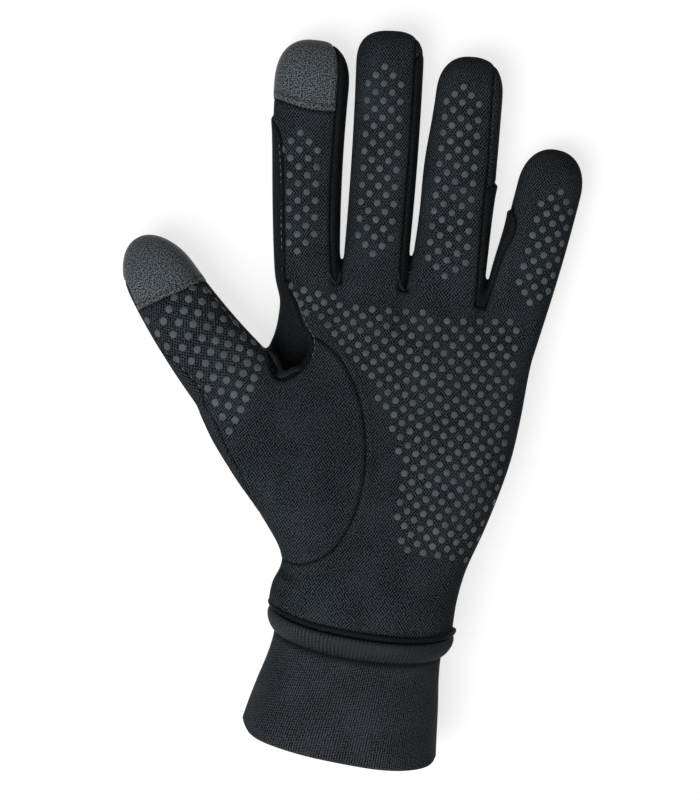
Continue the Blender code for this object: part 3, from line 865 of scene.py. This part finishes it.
def sew(name, chosen, material, nodes, digit=None, tip=False, from_back=False, lift=0.0, rides=None):
    """Make the chosen triangles of the skin a panel of its own, one layer of fabric thick."""
    used, corners = np.unique(triangles[chosen], return_inverse=True)
    outer = corners.reshape(-1, 3)
    count = len(used)
    top = place[used] + normal[used] * lift
    under = place[used] - normal[used] * KNIT_THICKNESS
    sides = triangle_sides(outer)
    rim = sides[~np.isin(sides[:, 0] * count + sides[:, 1], sides[:, 1] * count + sides[:, 0])]
    walls = np.stack([rim[:, 1], rim[:, 0], rim[:, 0] + count, rim[:, 1] + count], axis=1)
    faces = outer.tolist() + (outer[:, ::-1] + count).tolist() + walls.tolist()
    flat = cloth_place({key: value[used] for key, value in spots.items()}, digit, from_back)
    # painted shade: the outer face takes the skin's, the inner face is painted fully in shade
    dark = np.concatenate([shadow[used], np.ones(count)])
    piece = new_piece(name, np.concatenate([top, under]), faces, material, np.tile(flat, (2, 1)), dark)
    both_ways = np.concatenate([normal[used], -normal[used]])
    piece.data.normals_split_custom_set_from_vertices(both_ways.tolist())
    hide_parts(*nodes)
    if rides:
        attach(piece, rides)
    else:
        turn_with(piece, digit, tip)
    a, b, c = (top[outer[:, i]] for i in range(3))
    area = np.linalg.norm(np.cross(b - a, c - a), axis=1).sum() / 2 / STRETCH
    # the turned edges count too on a narrow strip
    edges = np.linalg.norm(top[rim[:, 0]] - top[rim[:, 1]], axis=1).sum() * (KNIT_THICKNESS + lift)
    area = max(area, (area * STRETCH + edges / 2) / MOST_STRETCH)
    # a sheet's flat size is at least a centimetre each way and has room for its area
    wide, long = np.maximum(np.ptp(flat, axis=0), LEAST_FLAT)
    long = max(long, FLAT_ROOM * area / wide)


def past_middle(number, found):
    """Whether points lie in the part of their digit that turns with its tip."""
    past = np.zeros(len(number), bool)
    for i, digit in enumerate(DIGITS, 1):
        past |= (number == i) & (found[digit.name][:, 0] > digit.split)
    return past


tip_zone = past_middle(owner, found)
sew("palm", hand & (cloth == KNIT), knit, ["palm_panel", "wrist_fold"])
sew("thumb_ball", hand & (cloth == THUMB_KNIT), knit, ["thumb_panel"])
sew("back", hand & (cloth == BACK), knit, ["back_panel"], from_back=True)
for number, digit in enumerate(DIGITS, 1):
    face = "front" if digit is THUMB else "palm"
    for tip, part, fold_name in ((False, "lower", "base_fold"), (True, "tip", "mid_fold")):
        mine = (owner == number) & (tip_zone == tip)
        front = mine & ((cloth == KNIT) | (cloth == THUMB_KNIT))
        nodes = [f"{digit.name}_{face}_{part}", f"{digit.name}_{fold_name}"]
        sew(f"{digit.name}_face_{part}", front, knit, nodes, digit, tip)
        rear = mine & (cloth == BACK)
        nodes = [f"{digit.name}_back_{part}"]
        sew(f"{digit.name}_rear_{part}", rear, knit, nodes, digit, tip, from_back=True)

# The smooth pieces: the web gusset and the strips along the sides of the fingers.
# A finer, denser knit with a satin face. The gusset is sewn to the palm and the thumb panel and runs into
# the index finger's strip; the strips between two fingers meet at the crotch.
satin = knit_material(
    "smooth_knit", dark=(0.003, 0.0037, 0.0044), light=(0.021, 0.0245, 0.0275), pitches=(0.6, 0.6),
    angles=(12, -70), weights=(0.6, 0.4), roughness=0.65, specular=0.016, relief=0.3,
)
FEWEST_TRIANGLES = 20
sew("web_gusset_cloth", hand & (cloth == SMOOTH), satin, ["web_gusset"], rides="hand")
for number, digit in enumerate(FINGERS, 1):
    spot = found[digit.name]
    for side, sign, reach in (("radial", -1, digit.left_strip), ("ulnar", 1, digit.right_strip)):
        if not reach:
            continue
        strip = (owner == number) & (cloth == SMOOTH) & (spot[:, 1] * sign > 0)
        for tip, part in ((False, "lower"), (True, "upper")):
            nodes = [] if tip else [f"{digit.name}_{side}_side"]
            chosen = strip & (tip_zone == tip)
            if chosen.sum() > FEWEST_TRIANGLES:
                sew(f"{digit.name}_{side}_{part}", chosen, satin, nodes, digit, tip)

# The touch patches on the index finger and the thumb.
# Thin conductive synthetic leather with a pebbled grain, cut to the fingertip, its lower edge turned under
# and sewn down, its sides taken into the finger's seams. It stands a little above the knit.
PATCH_LIFT = 0.3 * MM
leather, tree, shader = new_material("touch_leather", roughness=0.42, specular=0.09)
pattern = {"Vector": cloth_map(tree), "Scale": 1550.0, "Randomness": 0.75}
cells = add(tree, "TexVoronoi", pattern, feature="F1", voronoi_dimensions="2D").outputs["Distance"]
grain = remap(tree, cells, 0.26, 0.42, 0.0, 1.0)
uneven = remap(tree, noise(tree, object_place(tree), 240.0, 3.0), 0.3, 0.7, 0.9, 1.1)
pebbles = calc(tree, "MULTIPLY", grain, uneven)
colour = mix(tree, pebbles, (0.0015, 0.002, 0.0025), (0.112, 0.126, 0.137))
# painted shade in the patch's colour at its seams and in its hem's groove, by the shadow attribute
dress(tree, shader, in_shade(tree, colour, (0.002, 0.002, 0.002)), grain, relief=0.8)
for number, digit in ((1, INDEX), (5, THUMB)):
    chosen = (owner == number) & (cloth == PATCH)
    nodes = [digit.name + "_touch_patch"]
    sew(digit.name + "_patch", chosen, leather, nodes, digit, True, lift=PATCH_LIFT)

# The silicone dots.
# Grey silicone printed on the knit in rows that are set half a step against each other, for grip. Each is
# a low dome with a flat top. The fingers' fields are narrow with pointed ends, the palm's and thumb's wide.
DOT_RADIUS = 1.18 * MM
DOT_SIDES = 12
DOT_RINGS = ((1.0, -0.25 * MM), (0.98, 0.11 * MM), (0.82, 0.17 * MM))
DOT_TOP = 0.18 * MM
ROW_STEP = 2.77 * MM
DOT_STEP = 5.72 * MM
silicone, tree, shader = new_material("grip_silicone", roughness=0.5, specular=0.12)
cloudy = remap(tree, noise(tree, object_place(tree), 160.0, 4.0, 0.6), 0.3, 0.7, 0.0, 1.0)
dress(tree, shader, mix(tree, cloudy, (0.046, 0.053, 0.057), (0.1, 0.113, 0.12)))


def share_out(name, middles, shapes, faces, material):
    """Make small like shapes into pieces, one for each part of the glove that moves as they do."""
    middles, shapes = np.array(middles), np.array(shapes)
    spot = measure(middles)
    number = owners(middles, spot)
    past = past_middle(number, spot)
    for owner_number, tip in sorted(set(zip(number.tolist(), past.tolist()))):
        chosen = shapes[(number == owner_number) & (past == tip)]
        count = chosen.shape[1]
        all_faces = [[corner + i * count for corner in face] for i in range(len(chosen)) for face in faces]
        digit = DIGITS[owner_number - 1] if owner_number else None
        title = f"{digit.name}_{name}_{'tip' if tip else 'lower'}" if digit else "hand_" + name
        turn_with(new_piece(title, chosen, all_faces, material), digit, tip)


def dome(point, radius):
    """The nearest place of the skin, and the vertices of a dot printed there."""
    middle, out, _, _ = skin.find_nearest(Vector(point))
    side = Vector((*ACROSS, 0)).cross(out).normalized()
    ahead = out.cross(side)
    found = []
    for share, height in DOT_RINGS:
        for k in range(DOT_SIDES):
            angle = 2 * math.pi * k / DOT_SIDES
            spot = middle + (ahead * math.cos(angle) + side * math.sin(angle)) * radius * share
            found.append(skin.find_nearest(spot)[0] + out * height)
    found.append(middle + out * DOT_TOP)
    return middle, found


bottom, top_ring = tube_ends(len(DOT_RINGS), DOT_SIDES)
dot_faces = [bottom] + tube_faces(len(DOT_RINGS), DOT_SIDES)
dot_faces += [(a, b, top_ring[-1] + 1) for a, b in zip(top_ring, top_ring[1:] + top_ring[:1])]
dot_places = []


def on_digit(digit, t, arc):
    """A point of a digit's surface, by its distance along it and round it from the palm's middle."""
    phi, run = DIGIT_ARC
    angle = np.interp(-arc, -run, phi)
    c, s = section(angle, digit.power(t))
    half, high, middle = digit.sizes(t)
    x, y, lean = digit.centre(t)
    return x + half * c * math.cos(lean), y - half * c * math.sin(lean), middle + high * s


# narrow fields: the first and the last middle dot along the finger, the field's shift at both ends
for digit, first_t, last_t, shifts in (
    (INDEX, 10.2, 49.9, (-3.1, -2.5)), (MIDDLE, 11.0, 74.2, (-1.3, -1.7)), (RING, 7.7, 71.8, (-1.05, -2.4)),
    (LITTLE, 4.8, 43.3, (3.8, 3.9)),
):
    rows = 2 * round((last_t - first_t) * MM / (2 * ROW_STEP))
    for row in range(rows + 1):
        share = row / rows
        t = (first_t + (last_t - first_t) * share) * MM
        shift = (shifts[0] + (shifts[1] - shifts[0]) * share) * MM
        columns = (0, 2, -2) if row % 2 == 0 else (1, -1)
        for column in columns:
            if abs(column) <= min(row, rows - row):
                dot_places.append((on_digit(digit, t, shift + column * DOT_STEP / 2), DOT_RADIUS))

PALM_FIELD = smooth_outline(
    (-42, 100.2), (-31, 100.2), (-25.3, 99.5), (-22.5, 98), (-12, 97.5), (2, 98.6), (6.2, 98.6), (8.4, 97.1),
    (20, 98), (38, 99.8), (47, 99), (52, 80), (51, 60), (46, 36), (38, 19), (32, 17.5), (11, 17), (8.6, 23),
    (7.2, 27), (6.5, 40), (3.4, 52), (-0.6, 59.5), (-4.7, 64.5), (-6.9, 69.5), (-12.5, 75.5), (-20.5, 82.5),
    (-26.5, 87.3), (-31, 89.8), (-36, 90.2), (-39.5, 94.5),
)
CAMERA_HEIGHT = 1.2
PIXEL = 0.3383 * MM
# the picture's scale holds at this height, and its middle lies a little beside the frame's origin
SCALE_HEIGHT = 0.012
PICTURE_SHIFT = (-2.5 * PIXEL, -0.5 * PIXEL)
EYE = Vector((*PICTURE_SHIFT, CAMERA_HEIGHT + SCALE_HEIGHT))
PICTURE_MIDDLE = (350, 400)
PICTURE_HEIGHT = 800


def seen(column, row):
    """The place of the skin at a point of the 700 by 800 picture, and its outward direction."""
    aim = Vector(((column - PICTURE_MIDDLE[0]) * PIXEL, (PICTURE_MIDDLE[1] - row) * PIXEL, -CAMERA_HEIGHT))
    return skin.ray_cast(EYE, aim.normalized())[:2]


def stretched(lattice, u, v):
    """A place of the picture in a printed lattice: a corner, two steps, and the bends of the worn cloth."""
    powers = [u ** (n - k) * v**k for n in range(4) for k in range(n + 1)]
    return [sum(size * power for size, power in zip(sizes, powers)) for sizes in lattice]


# the palm's lattice counts columns in fives and rows in tens from its middle
PALM_LATTICE = (
    (402.0, 86.6, -7.8, -1.65, -0.84, -0.65, -2.76, -0.79, -1.35, -0.65),
    (423.0, 13.1, 70.2, -4.39, 4.76, -0.92, 1.26, -0.56, -1.19, 1.09),
)
LAST_COLUMN = 13.5
for row in range(-1, 34):
    for step in range(-2, int(2 * LAST_COLUMN) + 1):
        if (step + row) % 2:
            continue
        spot, _ = seen(*stretched(PALM_LATTICE, (step / 2 - 7) / 5, (row - 16) / 10))
        if spot is None:
            continue
        q, h = (np.array([v]) for v in world_to_hand(spot.x, spot.y))
        if outline_depth(q, h, PALM_FIELD)[0] > 0:
            dot_places.append((spot, DOT_RADIUS))

# the thumb's field ends below along a slant across the ball of the thumb; its left corner is bare
THUMB_DOT_RADIUS = 1.35 * MM
THUMB_LATTICE = (
    (169.08, 15.31, 9.99, -0.41, -0.37, -0.215),
    (309.18, 1.145, 13.14, 0.315, 0.314, 0.089),
)
for row in range(-4, 11):
    for column in range(-2, 9):
        if column + row > 8 or (row <= 0 and column < 0):
            continue
        spot, _ = seen(*stretched(THUMB_LATTICE, column, row))
        if spot is not None and world_to_hand(spot.x, spot.y)[0] < -40 * MM:
            dot_places.append((spot, THUMB_DOT_RADIUS))
# a dot that would fall on a seam, a patch or the gusset is left out
middles, shapes = [], []
for spot, radius in dot_places:
    middle, shape = dome(spot, radius)
    at = measure(np.array([middle]))
    number = int(owners(np.array([middle]), at)[0])
    if number:
        digit = DIGITS[number - 1]
        left_out = palm_depth(digit, at[digit.name])[0] < 0.3 * MM
        if digit.patch:
            left_out |= patch_depth(digit, at[digit.name])[0] > -0.6 * MM
    else:
        left_out = outline_depth(at["q"], at["h"], GUSSET)[0] > -0.4 * MM
        left_out |= edge_depth(at["q"], at["h"])[0] < 0.3 * MM
    if not left_out:
        middles.append(middle)
        shapes.append(shape)
share_out("dots", middles, shapes, dot_faces, silicone)

# The turned edges and the stitches.
# The web's gusset ends below in a folded lip, and two crotches of the fingers have a rolled seam like a thin
# rope. Grey sewing thread shows in short stitches beside the seams and along the hems of the touch patches.
ROLLED_STEPS = 60
ROLLED_SIDES = 12


def evenly(points, count):
    """Points at even distances along a path, its corners softened."""
    ends = np.array([tuple(p) for p in points], float)
    run = np.concatenate([[0], np.cumsum(np.linalg.norm(np.diff(ends, axis=0), axis=1))])
    at = np.linspace(0, run[-1], count)
    found = np.stack([np.interp(at, run, ends[:, k]) for k in range(ends.shape[1])], axis=1)
    for _ in range(max(2, count // 16)):
        found[1:-1] = (found[:-2] + 2 * found[1:-1] + found[2:]) / 4
    return found


def rolled_edge(name, corners, wide, high, raised, twist=0.0):
    """A rolled edge that lies on the skin along corners of the picture, closed and rounded at both ends."""
    count, sides = ROLLED_STEPS, ROLLED_SIDES
    spots_on = [seen(*corner) for corner in evenly(corners, count)]
    line = evenly([p for p, _ in spots_on], count)
    outs = np.array([tuple(o) for _, o in spots_on])
    for _ in range(12):
        outs[1:-1] = (outs[:-2] + outs[1:-1] + outs[2:]) / 3
    outs /= np.linalg.norm(outs, axis=1, keepdims=True)
    ahead = np.gradient(line, axis=0)
    ahead /= np.linalg.norm(ahead, axis=1, keepdims=True)
    aside = np.cross(outs, ahead)
    taper = (1 - np.abs(np.linspace(-0.995, 0.995, count)) ** 12) ** 0.5
    angle = np.linspace(0, 2 * np.pi, sides, endpoint=False)
    run = np.linspace(0, 1, count)[:, None] * np.linalg.norm(np.diff(line, axis=0), axis=1).sum()
    strand = 1 + 0.16 * np.cos(2 * angle[None, :] + twist * run / MM) * (twist > 0)
    ring_a = (wide * taper[:, None] * np.cos(angle) * strand)[..., None] * aside[:, None, :]
    ring_b = (high * taper[:, None] * np.sin(angle) * strand)[..., None] * outs[:, None, :]
    # both ends dive into the fabric
    lift = raised - (raised + 0.7 * high) * np.abs(np.linspace(-1, 1, count)[:, None]) ** 6
    grid = (line + outs * lift)[:, None, :] + ring_a + ring_b
    faces = tube_ends(count, sides) + tube_faces(count, sides)
    flat = np.stack(np.broadcast_arrays(angle[None, :] * wide, run), axis=-1)
    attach(new_piece(name, grid, faces, rolled, flat), "hand")


rolled = knit_material(
    "rolled_edge", dark=(0.006, 0.007, 0.008), light=(0.03, 0.034, 0.038), pitches=(0.5, 0.7),
    angles=(30, -60), weights=(0.5, 0.5), roughness=0.7, specular=0.06, relief=0.3,
)
lip = ((271, 353), (274, 362), (278.5, 371.5), (283.5, 377.3), (288.5, 375.8), (295, 371.2), (301, 367))
rolled_edge("gusset_lip", lip, wide=2.1 * MM, high=0.8 * MM, raised=0.9 * MM)
rope = {"wide": 0.5 * MM, "high": 0.5 * MM, "raised": 0.2 * MM, "twist": 2.4}
corners = ((328.5, 270), (330, 277), (334, 282.5), (338.5, 281.5), (340.5, 271))
rolled_edge("index_crotch_seam", corners, **rope)
corners = ((397.5, 270), (398.5, 281), (401.5, 288.5), (405, 291), (408.5, 288.5), (411, 280), (412, 270))
rolled_edge("middle_crotch_seam", corners, **rope)

STITCH_RADIUS = 0.2 * MM
STITCH_SIDES = 5
UNEVEN_DEPTH = 0.1 * MM
thread, tree, shader = new_material("sewing_thread", roughness=0.7, specular=0.08)
fibres = noise(tree, object_place(tree), 1300.0, 2.0)
dress(tree, shader, mix(tree, fibres, (0.02, 0.023, 0.026), (0.2, 0.215, 0.225)))
stitch_faces = []
for k in range(STITCH_SIDES):
    n = (k + 1) % STITCH_SIDES
    stitch_faces += [[k, n, STITCH_SIDES + n, STITCH_SIDES + k], [2 * STITCH_SIDES, n, k]]
    stitch_faces.append([2 * STITCH_SIDES + 1, STITCH_SIDES + k, STITCH_SIDES + n])
stitch_middles, stitch_shapes = [], []


def stitch(middle, out, ahead, length):
    """The vertices of one stitch: a short thread with pointed ends that dive into the fabric."""
    side = out.cross(ahead).normalized()
    ahead = side.cross(out)
    found = []
    for end in (-0.5, 0.5):
        for k in range(STITCH_SIDES):
            angle = 2 * math.pi * k / STITCH_SIDES
            round_it = (side * math.cos(angle) + out * math.sin(angle)) * STITCH_RADIUS
            found.append(middle + ahead * (end * length * 0.7) + round_it)
    found += [middle + ahead * (end * length) - out * STITCH_RADIUS for end in (-1, 1)]
    return found


def stitch_row(points, step, length, raised):
    """Stitches on the skin at even steps along a row of points; some lie deeper in the fabric than others."""
    line = np.array([tuple(p) for p in points], float)
    whole = np.linalg.norm(np.diff(line, axis=0), axis=1).sum()
    line = evenly(line, max(int(whole / step), 3))
    for i in range(1, len(line) - 1):
        middle, out, _, _ = skin.find_nearest(Vector(line[i]))
        sunk_in = UNEVEN_DEPTH * math.sin(37.0 * i)
        ahead = Vector(line[i + 1] - line[i - 1]).normalized()
        stitch_middles.append(middle)
        stitch_shapes.append(stitch(middle + out * (raised + sunk_in), out, ahead, length))


def dropped(x, y):
    """The place of the skin below a point."""
    return skin.ray_cast(Vector((x, y, 0.1)), Vector((0, 0, -1)))[0]


def on_face(digit, t, aside):
    """A place of a digit's palm face."""
    x, y, lean = digit.centre(t)
    return dropped(x + aside * math.cos(lean), y - aside * math.sin(lean))


def from_thumb_side(digit, t, more):
    """A place of a digit's palm face beside the seam on its thumb side."""
    return on_face(digit, t, -digit.sizes(t)[0] + digit.left_inset(t) + more)


# beside the gusset, along the index finger's strip, on the patches' hems, and along both edges of the thumb
beside = [hand_to_world(*p) for p in GUSSET if p[0] > -42 * MM and 75 * MM < p[1] < 99 * MM]
stitch_row([dropped(x + 0.8 * MM, y + 0.5 * MM) for x, y in beside], 2.1 * MM, 1.1 * MM, 0.14 * MM)
strip_seam = [from_thumb_side(INDEX, t, -0.8 * MM) for t in np.linspace(2, 50, 25) * MM]
stitch_row(strip_seam, 2.3 * MM, 1.0 * MM, -0.1 * MM)
for digit in (INDEX, THUMB):
    start, slope, bow, hem_height = digit.patch
    hem_line = []
    for aside in np.linspace(-0.8, 0.8, 25) * digit.sizes(start * MM)[0]:
        t = (start + hem_height) * MM + slope * aside + bow * (aside - 5 * MM) ** 2 / MM
        hem_line.append(on_face(digit, t, aside))
    stitch_row(hem_line, 1.7 * MM, 1.0 * MM, PATCH_LIFT + 0.1 * MM)
far_edge = [on_face(THUMB, t, 0.9 * THUMB.sizes(t)[0]) for t in np.linspace(0, 31, 25) * MM]
stitch_row(far_edge, 3.2 * MM, 1.5 * MM, 0.22 * MM)
near_edge = [from_thumb_side(THUMB, t, 0.7 * MM) for t in np.linspace(-8, 26, 25) * MM]
stitch_row(near_edge, 3.4 * MM, 1.2 * MM, 0.22 * MM)
share_out("thread", stitch_middles, stitch_shapes, stitch_faces, thread)

# The wrist: piping, gathered roll with the elastic inside, and the cuff.
# The hand's fabric is sewn to the cuff over a thin piping. Below it the cuff's upper end is turned into a
# roll, gathered on an elastic tape. The cuff is a flared tube of finely ribbed knit, folded back at its end.
CUFF_MIDDLE = 1.3 * MM
CUFF_TILT = 1.3 * MM
CUFF_SHIFT = 1.5 * MM
ABOVE_TABLE = 0.15 * MM
WRIST_RADIUS = 28 * MM
ROUND_TURNS = 256
cuff_half = curve_through(
    (0, 31.2), (6, 31.3), (8.5, 30.4), (11, 29.6), (15, 28.5), (20, 28.7), (34, 31), (50, 33.4)
)
cuff_high = curve_through((0, 18.8), (8, 18.8), (11, 18.2), (15, 17.5), (20, 17.4), (34, 18.5), (50, 19.2))


def looseness(down):
    """0 at the roll, 1 at the cuff's free end."""
    return ease((down - 14 * MM) / (34 * MM))


def ring_points(down, phi, out):
    """Points round the wrist at a distance below its joint, pushed outwards; the palm side hangs lower."""
    c, s = section(phi, 2.35)
    low = looseness(down)
    sag = (PIPING_SAG + 0.01 * (down - PIPING_DOWN)) * np.maximum(s, 0) ** (1.5 - 0.55 * low)
    sag = sag + CUFF_TILT * low * c
    q = CUFF_MIDDLE - CUFF_SHIFT * low + (cuff_half(down) + out) * c
    high = cuff_high(down)
    z = np.maximum(high + ABOVE_TABLE + (high + out) * s, 0.1 * MM)
    x, y = hand_to_world(q, -down - sag)
    return np.stack([x, y, z], axis=-1)


def make_ring(name, profile, turns, material, node, ribs=0, rib_height=0.0, folds=None, dark=None):
    """A closed ring round the wrist from a closed profile of (down, out); ribs run along the arm.

    The function folds gives how far it stands out, and dark how much painted shade darkens it, where light is
    kept out."""
    phi = np.linspace(0, 2 * np.pi, turns, endpoint=False)
    down, out = (np.array(v)[:, None] for v in zip(*profile))
    shape = np.maximum(out - out.mean(), 0) / max(np.ptp(out), 1e-9)
    ridge = rib_height * np.cos(ribs * phi)[None, :] * np.minimum(shape * 3, 1)
    more = folds(down, phi[None, :]) if folds else 0
    grid = ring_points(down + 0 * phi, phi[None, :] + 0 * down, out + ridge + more)
    faces = tube_faces(len(profile), turns, joined=True)
    around = np.stack(np.broadcast_arrays(phi[None, :] * WRIST_RADIUS, down + 0 * phi), axis=-1)
    shade = (dark(down) if dark else 0 * down) + 0 * phi
    piece = new_piece(name, grid, faces, material, around, shade)
    choose_only(piece)
    bpy.ops.object.mode_set(mode="EDIT")
    bpy.ops.mesh.select_all(action="SELECT")
    bpy.ops.mesh.normals_make_consistent(inside=False)
    bpy.ops.object.mode_set(mode="OBJECT")
    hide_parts(node)
    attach(piece, "cuff_end")
    return piece


def oval_profile(down, out, along, proud, points):
    """A closed oval of (down, out) pairs."""
    turn = np.linspace(0, 2 * np.pi, points, endpoint=False)
    return list(zip(down + along * np.cos(turn), out + proud * np.sin(turn)))


piping_knit = knit_material(
    "piping_knit", dark=(0.0015, 0.002, 0.0025), light=(0.011, 0.013, 0.015), pitches=(0.6, 0.6),
    angles=(12, -70), weights=(0.6, 0.4), roughness=0.6, specular=0.04, relief=0.3,
)
profile = oval_profile(6.1 * MM, -0.1 * MM, 1.0 * MM, 0.9 * MM, 12)
make_ring("piping_cord", profile, ROUND_TURNS, piping_knit, "wrist_piping")

ROLL_DOWN = 11.0 * MM
ROLL_HALF = 3.8 * MM
ROLL_TURNS = 1024
GATHERS = 150
GATHER_HEIGHT = 0.1 * MM
gathered = knit_material(
    "gathered_knit", dark=(0.004, 0.005, 0.006), light=(0.027, 0.0305, 0.034), pitches=(1.17, 0.9),
    angles=(2, 70), weights=(0.75, 0.25), roughness=0.5, specular=0.1, relief=0.5,
)


def roll_painted_shade(down):
    """Painted shade on the roll's edges, which lie in the shade of the piping above it and turn under below.
    """
    return 0.9 * np.clip((np.abs(down - ROLL_DOWN) / ROLL_HALF - 0.72) / 0.24, 0, 1)


profile = oval_profile(ROLL_DOWN, -0.6 * MM, ROLL_HALF, 2.3 * MM, 28)
make_ring(
    "wrist_roll_band", profile, ROLL_TURNS, gathered, "wrist_roll",
    ribs=GATHERS, rib_height=GATHER_HEIGHT, dark=roll_painted_shade,
)
tape = knit_material(
    "elastic_tape", dark=(0.01, 0.01, 0.01), light=(0.03, 0.03, 0.03), pitches=(1.0, 0.8),
    angles=(0, 90), weights=(0.7, 0.3), roughness=0.8, specular=0.08, relief=0.4,
)
profile = oval_profile(ROLL_DOWN, -0.7 * MM, 2.6 * MM, 0.4 * MM, 12)
make_ring("elastic", profile, ROUND_TURNS, tape, "wrist_elastic")

CUFF_START = 6.2 * MM
CUFF_END = 48.7 * MM
CUFF_HEM = 1.4 * MM
CUFF_TURNS = 320
CUFF_WAVE = 0.9 * MM
ribbed = knit_material(
    "ribbed_knit", dark=(0.001, 0.0016, 0.0022), light=(0.05, 0.0575, 0.065), pitches=(0.72, 0.85),
    angles=(3, 74), weights=(0.7, 0.3), roughness=0.8, specular=0.085, relief=0.8,
)


def cuff_folds(down, phi):
    """Soft folds of the cuff, growing towards its free end."""
    folds = 0.5 * np.cos(3 * phi + 0.7) + 0.35 * np.cos(5 * phi - 1.1 + 40 * down)
    folds = folds + 0.2 * np.cos(9 * phi + 60 * down)
    return CUFF_WAVE * looseness(down) * folds


def cuff_painted_shadow(down):
    """Painted shadow on the cuff: no light gets under the roll, and little beside it."""
    return 0.97 * ease((17.4 * MM - down) / (2.8 * MM))


turn_start = CUFF_END - CUFF_HEM
outer_down = np.linspace(CUFF_START, turn_start, 46)
outer_side = [(d, -0.7 * MM * ease((15 * MM - d) / (6 * MM))) for d in outer_down]
turned = [
    (turn_start + CUFF_HEM * math.sin(a), -CUFF_HEM + CUFF_HEM * math.cos(a))
    for a in np.linspace(0.2, math.pi - 0.2, 9)
]
inner_side = [(d, -2 * CUFF_HEM) for d in np.linspace(turn_start, CUFF_START, 28)]
cuff_tube = make_ring(
    "cuff_tube", outer_side + turned + inner_side, CUFF_TURNS, ribbed, "cuff",
    folds=cuff_folds, dark=cuff_painted_shadow,
)

# The place it lies on, the light and the camera.
# A wide white floor, a large soft lamp over the palm with a smaller one against it, and a camera that looks
# straight down. What the camera sees of the floor and the world is whiter than what lights the glove.
WHITE = (1, 1, 1, 1)
FLOOR_DOWN = 0.4 * MM
FLOOR_SIZE = 6
FLOOR_GREY = (0.2, 0.2, 0.2)
FLOOR_SEEN = (0.42, 0.42, 0.42)
FLOOR_GLOW = 0.72
WORLD_LIGHT = 0.12
SENSOR = 36
LAMPS = (("key", (-0.5, -0.5, 1.05), 1.0, 15.2), ("fill", (0.45, 0.1, 1.4), 0.9, 2.8))


def looked_at(tree):
    """1 for what is seen, reflected or seen through glass, 0 for what only gives light."""
    path = add(tree, "LightPath", {})
    found = path.outputs["Is Camera Ray"]
    for kind in ("Is Glossy Ray", "Is Transmission Ray"):
        found = calc(tree, "MAXIMUM", found, path.outputs[kind])
    return found


bpy.ops.mesh.primitive_plane_add(size=FLOOR_SIZE, location=(0, 0, -FLOOR_DOWN))
floor = bpy.context.object
floor.name = "floor"
white, tree, shader = new_material("white_floor", roughness=0.9, specular=0.0)
seen_floor = looked_at(tree)
dress(tree, shader, mix(tree, seen_floor, FLOOR_GREY, FLOOR_SEEN))
tree.links.new(calc(tree, "MULTIPLY", seen_floor, FLOOR_GLOW), shader.inputs["Emission Strength"])
shader.inputs["Emission Color"].default_value = WHITE
floor.data.materials.append(white)
for name, spot_at, size, power in LAMPS:
    lamp = bpy.data.lights.new(name, "AREA")
    lamp.size = size
    lamp.energy = power
    holder = bpy.data.objects.new(name, lamp)
    holder.location = spot_at
    holder.rotation_euler = (-Vector(spot_at)).to_track_quat("-Z", "Y").to_euler()
    bpy.context.collection.objects.link(holder)
world = bpy.data.worlds.new("world")
bpy.context.scene.world = world
world.use_nodes = True
tree = world.node_tree
backdrop = tree.nodes["Background"]
backdrop.inputs["Color"].default_value = WHITE
level = calc(tree, "MULTIPLY_ADD", looked_at(tree), 1 - WORLD_LIGHT, WORLD_LIGHT)
tree.links.new(level, backdrop.inputs["Strength"])

camera_data = bpy.data.cameras.new("camera")
camera = bpy.data.objects.new("camera", camera_data)
bpy.context.collection.objects.link(camera)
camera.location = EYE
camera_data.lens = SENSOR * CAMERA_HEIGHT / (PICTURE_HEIGHT * PIXEL)
camera_data.clip_end = 20
bpy.context.scene.camera = camera
bpy.context.scene.view_settings.view_transform = "Standard"
